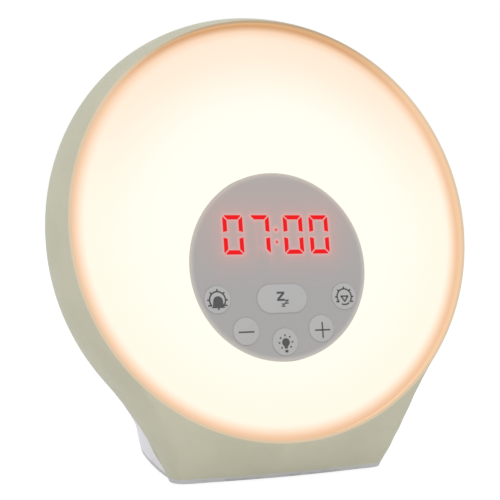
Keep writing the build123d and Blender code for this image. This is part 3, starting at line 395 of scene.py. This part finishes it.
def clouded(tree, dark, light):
    """Faint large patches of two tones."""
    patches = put(tree, "ShaderNodeTexNoise", {
        "Vector": object_place(tree), "Scale": CLOUD_SCALE, "Detail": CLOUD_DETAIL}).outputs[0]
    return blended(tree, ramp(tree, patches, *CLOUD_RANGE), dark, light)


def surface(tree, values):
    """Principled surface from its inputs, as the material's output."""
    shader = put(tree, "ShaderNodeBsdfPrincipled", values)
    put(tree, "ShaderNodeOutputMaterial", {0: shader.outputs[0]})


def plastic(name, color, roughness, size=0.35, height=0.012, specular=0.4):
    """Moulded plastic: fine grain, and a faint unevenness of colour and gloss."""
    finish, tree = new_finish(name)
    normal, noise = grain(tree, size, height)
    dark = tuple(c * (1 - CLOUD_DARKENING) for c in color[:3]) + (1.0,)
    surface(tree, {
        "Base Color": clouded(tree, dark, color), "Roughness": uneven(tree, noise, roughness, 0.05),
        "Normal": normal, "Specular IOR Level": specular})
    return finish


def metal(name, color, roughness):
    """Plated or rolled metal with a fine uneven sheen."""
    finish, tree = new_finish(name)
    normal, noise = grain(tree, *METAL_GRAIN)
    surface(tree, {
        "Base Color": color, "Metallic": 1.0, "Roughness": uneven(tree, noise, roughness, 0.07),
        "Normal": normal})
    return finish


# ---- Finish of the lit face ----
def opal_finish():
    """Opal plastic lit from behind: white in the middle, warm and darker towards the rim, with painted shade
    of the lip at the top of its edge.
    """
    finish, tree = new_finish("opal_lit_plastic")
    x, _, rise = face_place(tree)
    reach = distance(tree, x, rise)
    white, warm_white = rgb(255, 255, 242), rgb(255, 250, 232)
    peach, apricot = rgb(255, 235, 213), rgb(253, 216, 184)
    # the darker tan at the top of the rim is painted shade of the lip over the plate
    low_tan, shaded_high_tan = rgb(240, 197, 160), rgb(216, 164, 118)
    edge = blended(tree, ramp(tree, rise, *OPAL_TAN_RISE), low_tan, shaded_high_tan)
    outer = blended(tree, ramp(tree, rise, *OPAL_WARM_RISE), warm_white, peach)
    glow = blended(tree, ramp(tree, reach, *OPAL_FADE), white, outer)
    glow = blended(tree, ramp(tree, reach, *OPAL_RIM), glow, apricot)
    glow = blended(tree, ramp(tree, reach, *OPAL_EDGE), glow, edge)
    normal, _ = grain(tree, 0.25, 0.006)
    surface(tree, {
        "Base Color": blended(tree, OPAL_DARKENING, glow, BLACK), "Roughness": 0.45, "Normal": normal,
        "Emission Color": glow, "Emission Strength": OPAL_LIGHT, "Specular IOR Level": 0.3})
    return finish


# ---- Finish of the display disc, with the lit digits ----
def digit_field(tree, x, height, place, digit):
    """How far a place lies outside the lit bars of one digit, a nought or a seven, in millimetres."""
    above = calc(tree, "ABSOLUTE", height)
    from_side = calc(tree, "SUBTRACT", off(tree, x, place), DIGIT_WIDTH / 2)
    from_top = calc(tree, "SUBTRACT", above, DIGIT_HEIGHT / 2)
    outside = largest(tree, from_side, from_top)
    inside = calc(tree, "SUBTRACT", -DIGIT_BAR, outside)
    past_corner = calc(tree, "ADD", calc(tree, "ADD", from_side, from_top), DIGIT_CORNER)
    cut = calc(tree, "MULTIPLY", past_corner, DIAGONAL)
    level = calc(tree, "SUBTRACT", from_top, from_side)
    from_mitre = calc(tree, "MULTIPLY", calc(tree, "ABSOLUTE", level), DIAGONAL)
    mitre = calc(tree, "SUBTRACT", CORNER_GAP / 2, from_mitre)
    opening = calc(tree, "SUBTRACT", MIDDLE_GAP / 2, calc(tree, "MULTIPLY", from_side, MIDDLE_SLOPE))
    notch = calc(tree, "SUBTRACT", opening, above)
    field = largest(tree, outside, inside, cut, mitre, notch)
    if digit == 7:
        top_bar = largest(tree, negative(tree, level), negative(tree, height))
        right_bars = largest(tree, level, calc(tree, "SUBTRACT", place, x))
        field = largest(tree, field, calc(tree, "MINIMUM", top_bar, right_bars))
    return field


def display_fields(tree, x, rise):
    """How far a place lies outside the lit digits, and outside the dots of the colon."""
    height = calc(tree, "SUBTRACT", rise, DIGITS_RISE - DISPLAY_DROP)
    inner = (DIGIT_PITCH + COLON_GAP) / 2
    places = (-inner - DIGIT_PITCH, -inner, inner, inner + DIGIT_PITCH)
    fields = [digit_field(tree, x, height, place + DIGITS_SHIFT, digit)
              for place, digit in zip(places, (0, 7, 0, 0))]
    digits = fields[0]
    for field in fields[1:]:
        digits = calc(tree, "MINIMUM", digits, field)
    from_colon = calc(tree, "ABSOLUTE", calc(tree, "ADD", height, COLON_DROP))
    from_dot = distance(tree, off(tree, x, DIGITS_SHIFT * 2), off(tree, from_colon, COLON_RISE))
    return digits, calc(tree, "SUBTRACT", from_dot, COLON_RADIUS)


def falling(tree, away, rate):
    """Value that falls from one towards nought with the distance."""
    return calc(tree, "POWER", FALL_BASE, calc(tree, "MULTIPLY", away, rate))


def display_finish():
    """Smoke-grey disc with red digits that show 07:00, each with a soft pink halo."""
    finish, tree = new_finish("display_grey_lit")
    x, _, rise = face_place(tree)
    digits, dots = display_fields(tree, x, rise)
    away = largest(tree, calc(tree, "MINIMUM", digits, dots), 0.0)
    bars_lit = ramp(tree, digits, *BAR_EDGE, 1.0, 0.0)
    dots_lit = ramp(tree, dots, *DOT_EDGE, DOT_LIGHT, 0.0)
    lit = largest(tree, bars_lit, dots_lit)
    cool_grey, warm_grey, plate_glow_edge = rgb(166, 165, 164), rgb(174, 167, 164), rgb(226, 216, 204)
    glow_pink, under_red = rgb(212, 160, 156), rgb(20, 2, 2)
    pink, red = rgb(255, 150, 145), rgb(238, 14, 20)
    up_disc = calc(tree, "ADD", rise, DISPLAY_DROP)
    # Painted light of the lit plate on the disc's rim
    at_edge = ramp(tree, distance(tree, x, up_disc), *DISC_EDGE, 0.0, DISC_GLOW_SHARE)
    base = blended(tree, ramp(tree, up_disc, *DISC_WARM_RISE), cool_grey, warm_grey)
    base = blended(tree, at_edge, base, plate_glow_edge)
    # Painted light: the digits' pink glow mixed into the disc's own colour, falling off away from them
    digit_glow = calc(tree, "MULTIPLY", falling(tree, away, DIGIT_GLOW_FALL), DIGIT_GLOW_SHARE)
    base = blended(tree, digit_glow, base, glow_pink)
    base = blended(tree, lit, base, under_red)
    halo = calc(tree, "MULTIPLY", falling(tree, away, HALO_FALL), HALO_SHARE)
    normal, _ = grain(tree, 0.2, 0.003)
    surface(tree, {
        "Base Color": base, "Roughness": 0.45, "Normal": normal, "Specular IOR Level": 0.12,
        "Emission Color": blended(tree, lit, pink, red), "Emission Strength": largest(tree, halo, lit)})
    return finish


# ---- Finish of the front shell ----
def sage_finish():
    """Sage plastic with painted light: its thin lip and throat glow tan next to the lit face, darker at the
    top with painted shade.
    """
    finish, tree = new_finish("sage_plastic")
    x, depth, rise = face_place(tree)
    normal, noise = grain(tree, 0.35, 0.010)
    dark_sage, light_sage = rgb(187, 185, 164), rgb(191, 189, 168)
    low_tan, shaded_high_tan, throat_tan = rgb(238, 197, 159), rgb(176, 146, 110), rgb(211, 163, 116)
    # Painted light: the lip and throat glow tan, turning darker at the top as painted shade, and the sage
    # under the glow is darkened
    near = ramp(tree, distance(tree, x, rise), *LIP_GLOW, 1.0, 0.0)
    inward = ramp(tree, depth, *THROAT_DEPTH)
    high = ramp(tree, rise, *LIP_HIGH_RISE)
    full = ramp(tree, largest(tree, inward, high), 0, 1, LIP_LOW_SHARE, 1.0)
    share = calc(tree, "MULTIPLY", near, full)
    light = blended(tree, high, low_tan, blended(tree, inward, shaded_high_tan, throat_tan))
    darkening = calc(tree, "MULTIPLY", share, LIP_DARKENING)
    surface(tree, {
        "Base Color": blended(tree, darkening, clouded(tree, dark_sage, light_sage), UNDER_GLOW),
        "Roughness": uneven(tree, noise, 0.5, 0.05), "Normal": normal, "Specular IOR Level": 0.4,
        "Emission Color": light, "Emission Strength": calc(tree, "MULTIPLY", share, LIP_LIGHT)})
    return finish


# Each material slot of the record and its finish: colour, roughness, and grain where it differs.
finishes = {
    "front_plastic": sage_finish(),
    "rear_plastic": plastic("lavender_grey_plastic", rgb(231, 229, 234), 0.5),
    "base_plastic": plastic("base_grey_plastic", rgb(196, 196, 197), 0.55),
    "opal_plastic": opal_finish(),
    "tray_white": plastic("tray_white_plastic", rgb(240, 240, 238), 0.6),
    "board_metal": metal("board_aluminium", rgb(205, 207, 208), 0.4),
    "diode_yellow": plastic("diode_phosphor", rgb(236, 205, 60), 0.4),
    "lens_grey": display_finish(),
    "key_grey": plastic("key_grey_plastic", rgb(177, 176, 176), 0.5, height=0.004, specular=0.3),
    "digit_red": plastic("segment_red", rgb(220, 25, 25), 0.4),
    "segment_grey": plastic("segment_dark", rgb(120, 112, 112), 0.4),
    "module_black": plastic("module_black_plastic", rgb(32, 32, 34), 0.5),
    "mat_rubber": plastic("mat_rubber", rgb(150, 150, 150), 0.7),
    "board_green": plastic("board_laminate", rgb(38, 96, 62), 0.4),
    "carrier_white": plastic("carrier_white_plastic", rgb(232, 232, 230), 0.55),
    "foam_black": plastic("black_foam", rgb(36, 36, 38), 0.9, size=0.5, height=0.08),
    "component_black": plastic("component_black", rgb(40, 40, 42), 0.45),
    "socket_white": plastic("socket_white_plastic", rgb(236, 234, 226), 0.45),
    "lead_grey": plastic("lead_grey_sleeve", rgb(150, 150, 155), 0.5),
    "speaker_steel": metal("speaker_steel", rgb(170, 172, 175), 0.35),
    "magnet_grey": plastic("magnet_ferrite", rgb(70, 70, 72), 0.55),
    "paper_black": plastic("cone_paper", rgb(44, 43, 42), 0.85, size=0.4, height=0.03),
    "inlet_black": plastic("inlet_black_plastic", rgb(30, 30, 32), 0.4),
    "screw_steel": metal("screw_zinc", rgb(200, 200, 205), 0.3),
    "foot_rubber": plastic("foot_rubber", rgb(120, 120, 124), 0.85, size=0.3, height=0.02),
}


# ---- Outlines on the face, drawn with x and rise in millimetres ----
def moved(points, x, rise):
    """Points of an outline, moved on the face."""
    return [(x + px, rise + py) for px, py in points]


def stadium(x, rise, half, radius, sides=KEY_SIDES):
    """A circle, or a long round-ended outline where half isn't zero."""
    outline = []
    for i in range(sides):
        turn = 2 * pi * (i + 0.5) / sides
        middle = x + (half if cos(turn) > 0 else -half)
        outline.append((middle + radius * cos(turn), rise + radius * sin(turn)))
    return outline


def arc(x, rise, radius, start, end, steps=ARC_STEPS):
    """Bent line from one angle to another, in degrees."""
    turns = [radians(start + (end - start) * i / steps) for i in range(steps + 1)]
    outer, inner = radius + STROKE / 2, radius - STROKE / 2
    return ([(x + outer * cos(t), rise + outer * sin(t)) for t in turns]
            + [(x + inner * cos(t), rise + inner * sin(t)) for t in turns[::-1]])


def line(x0, rise0, x1, rise1, width=STROKE):
    """Straight line between two places."""
    across = Vector((rise0 - rise1, x1 - x0)).normalized() * (width / 2)
    return [(x0 + across.x, rise0 + across.y), (x1 + across.x, rise1 + across.y),
            (x1 - across.x, rise1 - across.y), (x0 - across.x, rise0 - across.y)]


def rays(x, rise, near, far, angles):
    """Short lines that point away from a middle."""
    turns = [radians(angle) for angle in angles]
    return [line(x + near * cos(t), rise + near * sin(t), x + far * cos(t), rise + far * sin(t))
            for t in turns]


def zed(x, rise, width, height, weight):
    """Letter z as one outline."""
    w, h = width / 2, height / 2
    slant = weight * 1.5
    points = [(-w, h), (w, h), (w, h - weight), (-w + slant, -h + weight), (w, -h + weight),
              (w, -h), (-w, -h), (-w, -h + weight), (w - slant, h - weight), (-w, h - weight)]
    return moved(points, x, rise)


def bell(x, rise):
    """Bell with a round top and a flared foot."""
    turns = [radians(180 * i / 16) for i in range(17)]
    dome = [(1.95 * cos(t), 1.9 * sin(t)) for t in turns]
    return moved([(2.3, -2.3), (2.1, -1.4)] + dome + [(-2.1, -1.4), (-2.3, -2.3)], x, rise)


def bulb(x, rise):
    """Light bulb that narrows to its neck."""
    turns = [radians(-35 + 250 * i / 24) for i in range(25)]
    glass = [(1.6 * cos(t), 1.6 * sin(t)) for t in turns]
    return moved(glass + [(-0.65, -1.75), (-0.6, -2.4), (0.6, -2.4), (0.65, -1.75)], x, rise)


SUN_RAYS = (0, 45, 90, 135, 180)
ICONS = {
    # a rising sun with a bell in it
    "key_alarm": [
        arc(0, -0.15, 3.2, -42, 222), *rays(0, -0.15, 3.3, 4.15, SUN_RAYS),
        line(2.3, -2.25, 3.9, -2.25), line(-3.9, -2.25, -2.3, -2.25),
        bell(0.2, -0.6), line(-2.45, -3.0, 2.85, -3.0, 0.4), stadium(0.3, -3.55, 0, 0.4, 16)],
    "key_minus": [line(-3.2, -0.3, 3.25, -0.3)],
    # a light bulb with short rays
    "key_light": [
        bulb(0.2, -0.2), line(-0.35, -3.6, 0.95, -3.6, 0.95),
        *rays(0.2, -0.2, 2.35, 3.05, (-42, 2, 50, 95, 141, 183, 229))],
    "key_plus": [line(-2.85, -0.6, 3.55, -0.6), line(0.35, 2.5, 0.35, -3.7)],
    # a setting sun with an arrow that points down
    "key_sunset": [
        arc(0, -0.2, 3.1, -38, 218), *rays(0, -0.2, 3.2, 4.0, SUN_RAYS),
        line(2.2, -2.1, 3.8, -2.1), line(-3.6, -2.1, -2.2, -2.1), arc(0, -0.2, 3.1, 245, 309, 12),
        line(-1.55, 0.0, 1.75, 0.0), line(-1.4, 0.1, 0.1, -2.1), line(1.6, 0.1, 0.1, -2.1)],
    # three letters z of falling size
    "key_snooze": [
        zed(-0.6, 0.85, 3.2, 3.6, 0.8), zed(1.75, -1.3, 1.7, 1.6, 0.45), zed(0.35, -2.6, 1.5, 1.3, 0.4)],
}


# ---- Display disc and keys ----
def key_rows():
    """Name, place, half length and radius of each key."""
    rows = []
    for i, name in enumerate(("key_alarm", "key_minus", "key_light", "key_plus", "key_sunset")):
        turn = radians(270 + (i - 2) * KEY_SPREAD)
        x, rise = KEY_CIRCLE * cos(turn), KEY_CIRCLE * sin(turn) - DISPLAY_DROP
        rows.append((name, x, rise, 0, KEY_RADIUS))
    half = (SNOOZE_LENGTH - SNOOZE_HEIGHT) / 2
    rows.append(("key_snooze", 0, -DISPLAY_DROP - SNOOZE_DROP, half, SNOOZE_HEIGHT / 2))
    return rows


def key_cap(name, x, rise, half, radius):
    """Key with a rounded front edge and a flange behind the display disc."""
    steps = [(reach, KEY_FRONT + depth) for reach, depth in rounded(radius, KEY_EDGE)]
    steps += [(radius, FLANGE_FRONT), (radius + KEY_FLANGE, FLANGE_FRONT),
              (radius + KEY_FLANGE, FLANGE_BACK)]
    bm = bmesh.new()
    skin(bm, [loop(bm, stadium(x, rise, half, reach), depth) for reach, depth in steps])
    return closed(bm, name)


def disc_with_holes(name):
    """Display disc with a close-fitting hole for each key."""
    outlines = [stadium(0, -DISPLAY_DROP, 0, LENS_RADIUS, DISC_SIDES)]
    outlines += [stadium(x, rise, half, radius + KEY_GAP) for _, x, rise, half, radius in key_rows()]
    bm = bmesh.new()
    near_edges, far_edges = [], []
    for outline in outlines:
        near, far = loop(bm, outline, FACE_RECESS), loop(bm, outline, LENS_BACK)
        wall(bm, near, far)
        near_edges += [bm.edges.get((near[i - 1], near[i])) for i in range(len(near))]
        far_edges += [bm.edges.get((far[i - 1], far[i])) for i in range(len(far))]
    bmesh.ops.triangle_fill(bm, edges=near_edges, use_beauty=True)
    bmesh.ops.triangle_fill(bm, edges=far_edges, use_beauty=True)
    return closed(bm, name)


# ---- Screws: one shape, set at each place by a node group ----
def cross_recess():
    """Tapered cross that is cut out of a screw's head."""
    w, r = CROSS_HALF_WIDTH, CROSS_REACH
    cross = [(w, w), (w, r), (-w, r), (-w, w), (-r, w), (-r, -w),
             (-w, -w), (-w, -r), (w, -r), (w, -w), (r, -w), (r, w)]
    bm = bmesh.new()
    skin(bm, [[bm.verts.new((x * share * MM, y * share * MM, z * MM)) for x, y in cross]
              for share, z in ((1, CROSS_ABOVE), (CROSS_TAPER, -CROSS_DEPTH))])
    return closed(bm, "screw_recess")


def screw_shape(length, finish):
    """Pan-head screw along +Z with its head's top at zero and a cross recess."""
    steps = [(reach, -depth) for reach, depth in rounded(SCREW_HEAD_RADIUS, SCREW_EDGE)]
    steps += [(SCREW_HEAD_RADIUS, -SCREW_HEAD), (SCREW_RADIUS, -SCREW_HEAD)]
    depth = -SCREW_HEAD
    while depth > -length + SCREW_POINT:
        steps += [(SCREW_RADIUS - THREAD_DEPTH, depth - THREAD_PITCH / 2),
                  (SCREW_RADIUS, depth - THREAD_PITCH)]
        depth -= THREAD_PITCH
    steps += [(SCREW_TIP, -length)]
    turns = [2 * pi * i / SCREW_SIDES for i in range(SCREW_SIDES)]
    bm = bmesh.new()
    skin(bm, [[bm.verts.new((r * cos(t) * MM, r * sin(t) * MM, z * MM)) for t in turns]
              for r, z in steps])
    screw = closed(bm, "screw_shape")
    recess = cross_recess()
    cut = screw.modifiers.new("recess", "BOOLEAN")
    cut.operation = "DIFFERENCE"
    cut.solver = "EXACT"
    cut.object = recess
    applied(screw)
    bpy.data.objects.remove(recess)
    screw.data.materials.append(finish)
    smooth(screw, ROUNDING_ANGLE)
    return screw


def islands(bm):
    """Places of the points of each separate part of a mesh."""
    seen, parts = set(), []
    for start in bm.verts:
        if start in seen:
            continue
        part, todo = [], [start]
        seen.add(start)
        while todo:
            vert = todo.pop()
            part.append(vert.co.copy())
            for edge in vert.link_edges:
                other = edge.other_vert(vert)
                if other not in seen:
                    seen.add(other)
                    todo.append(other)
        parts.append(part)
    return parts


def screw_places(node):
    """Head middle, outward direction and length of each screw of a node, in metres."""
    bm = merged(node)
    axis = Vector((0, 0, 1)) if node == "base_screws" else FACE_AXIS
    rows = []
    for part in islands(bm):
        along = [co.dot(axis) for co in part]
        ends = []
        for end in (min(along), max(along)):
            close = [co for co, place in zip(part, along) if abs(place - end) < END_BAND]
            middle = sum(close, Vector()) / len(close)
            ends.append((max((co - middle).length for co in close), middle))
        head = 0 if ends[0][0] > ends[1][0] else 1
        outward = (ends[head][1] - ends[1 - head][1]).normalized()
        rows.append((ends[head][1], outward, max(along) - min(along)))
    bm.free()
    return rows


def screw_group():
    """Node group that sets a shape on every point, turned along the point's direction."""
    group = bpy.data.node_groups.new("screws_at_places", "GeometryNodeTree")
    sockets = {}
    for label, kind in (("Places", "NodeSocketGeometry"), ("Shape", "NodeSocketObject"),
                        ("Outward", "NodeSocketVector"), ("Finish", "NodeSocketMaterial")):
        sockets[label] = group.interface.new_socket(label, in_out="INPUT", socket_type=kind).identifier
    group.interface.new_socket("Screws", in_out="OUTPUT", socket_type="NodeSocketGeometry")
    source = group.nodes.new("NodeGroupInput").outputs
    shape = put(group, "GeometryNodeObjectInfo", {"Object": source["Shape"]}).outputs["Geometry"]
    turned = put(group, "FunctionNodeAlignRotationToVector", {"Vector": source["Outward"]}, axis="Z")
    many = put(group, "GeometryNodeInstanceOnPoints", {
        "Points": source["Places"], "Instance": shape, "Rotation": turned.outputs[0]})
    real = put(group, "GeometryNodeRealizeInstances", {"Geometry": many.outputs[0]})
    coated = put(group, "GeometryNodeSetMaterial", {
        "Geometry": real.outputs[0], "Material": source["Finish"]})
    put(group, "NodeGroupOutput", {0: coated.outputs[0]})
    return group, sockets


def screws(node, group, sockets, finish):
    """All screws of a node as one piece."""
    rows = screw_places(node)
    mesh = bpy.data.meshes.new(node + "_body")
    mesh.from_pydata([place for place, outward, length in rows], [], [])
    outward_row = mesh.attributes.new("outward", "FLOAT_VECTOR", "POINT")
    outward_row.data.foreach_set("vector", [value for row in rows for value in row[1]])
    piece = made(node + "_body", mesh)
    shape = screw_shape(rows[0][2] / MM, finish)
    many = piece.modifiers.new("screws", "NODES")
    many.node_group = group
    many[sockets["Shape"]] = shape
    many[sockets["Outward"] + "_use_attribute"] = True
    many[sockets["Outward"] + "_attribute_name"] = "outward"
    many[sockets["Finish"]] = finish
    applied(piece)
    bpy.data.objects.remove(shape)
    return piece


# ---- Every CAD node in its finish ----
slot_of = {row["node"]: row["material_slot"] for row in frame["record"]["subparts"]}
body_of = {name: source["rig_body"] for name, source in frame["nodes"].items()}


def joined(piece, node):
    """Let a piece ride on a node's body and stand for that node."""
    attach(piece, body_of[node])
    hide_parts(node)


ink = plastic("icon_ink", rgb(84, 84, 85), 0.6, height=0.002, specular=0.2)
own_shape = {"display_lens"}
disc = disc_with_holes("display_lens_body")
disc.data.materials.append(finishes["lens_grey"])
smooth(disc, CURVE_ANGLE)
joined(disc, "display_lens")

for name, x, rise, half, radius in key_rows():
    cap = key_cap(name + "_body", x, rise, half, radius)
    cap.data.materials.append(finishes["key_grey"])
    smooth(cap, ROUNDING_ANGLE)
    joined(cap, name)
    own_shape.add(name)
    outlines = [moved(outline, x, rise) for outline in ICONS[name]]
    mark = prisms(name + "_print", outlines, KEY_FRONT - PRINT_HEIGHT, KEY_FRONT + PRINT_ROOT)
    mark.data.materials.append(ink)
    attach(mark, body_of[name])

group, sockets = screw_group()
for place in ("housing", "base", "tray", "carrier", "display", "board"):
    name = place + "_screws"
    joined(screws(name, group, sockets, finishes[slot_of[name]]), name)
    own_shape.add(name)

for name in frame["nodes"]:
    if name not in own_shape:
        joined(dressed(name, finishes[slot_of[name]]), name)


# ---- Stage, light and camera ----
def seen_directly(tree):
    """One where the camera sees a surface itself, mirrored or through something clear."""
    path = put(tree, "ShaderNodeLightPath", {}).outputs
    return largest(tree, *[path[kind] for kind in ("Is Camera Ray", "Is Glossy Ray", "Is Transmission Ray")])


def facing(direction):
    """Rotation of a lamp or a camera that looks along a direction."""
    return Vector(direction).to_track_quat("-Z", "Y").to_euler()


def stage_floor():
    """White floor that keeps the clock's shadow."""
    bm = bmesh.new()
    bmesh.ops.create_grid(bm, x_segments=1, y_segments=1, size=FLOOR_SIZE)
    floor = made("floor", mesh_from(bm, "floor"))
    finish, tree = new_finish("white_floor")
    direct = seen_directly(tree)
    matt = put(tree, "ShaderNodeBsdfDiffuse", {"Color": FLOOR_GREY})
    white = put(tree, "ShaderNodeEmission", {"Color": WHITE, "Strength": 1.0})
    both = put(tree, "ShaderNodeMixShader", {
        0: calc(tree, "MULTIPLY", direct, FLOOR_WHITE), 1: matt.outputs[0], 2: white.outputs[0]})
    lift = put(tree, "ShaderNodeEmission", {
        "Color": WHITE, "Strength": calc(tree, "MULTIPLY", direct, FLOOR_LIFT)})
    summed = put(tree, "ShaderNodeAddShader", {0: both.outputs[0], 1: lift.outputs[0]})
    put(tree, "ShaderNodeOutputMaterial", {0: summed.outputs[0]})
    floor.data.materials.append(finish)


def stage_world():
    """Even white surroundings, seen as plain white."""
    world = bpy.data.worlds.new("plain_white")
    bpy.context.scene.world = world
    world.use_nodes = True
    tree = world.node_tree
    tree.nodes.clear()
    even, white = [put(tree, "ShaderNodeBackground", {"Color": WHITE, "Strength": strength})
                   for strength in (WORLD_LIGHT, 1.0)]
    both = put(tree, "ShaderNodeMixShader", {
        0: seen_directly(tree), 1: even.outputs[0], 2: white.outputs[0]})
    put(tree, "ShaderNodeOutputWorld", {0: both.outputs[0]})


stage_floor()
stage_world()
for name, place, aim, size, power in LAMPS:
    light = bpy.data.lights.new(name, "AREA")
    light.size = size
    light.energy = power
    lamp = made(name, light)
    lamp.location = place
    lamp.rotation_euler = facing(Vector(aim) - Vector(place))

camera = made("camera", bpy.data.cameras.new("camera"))
camera.data.lens = CAMERA_LENS
camera.data.sensor_width = CAMERA_SENSOR
camera.location = CAMERA_PLACE
camera.rotation_euler = facing(CAMERA_FORWARD)
bpy.context.scene.camera = camera
bpy.context.scene.view_settings.view_transform = "Standard"
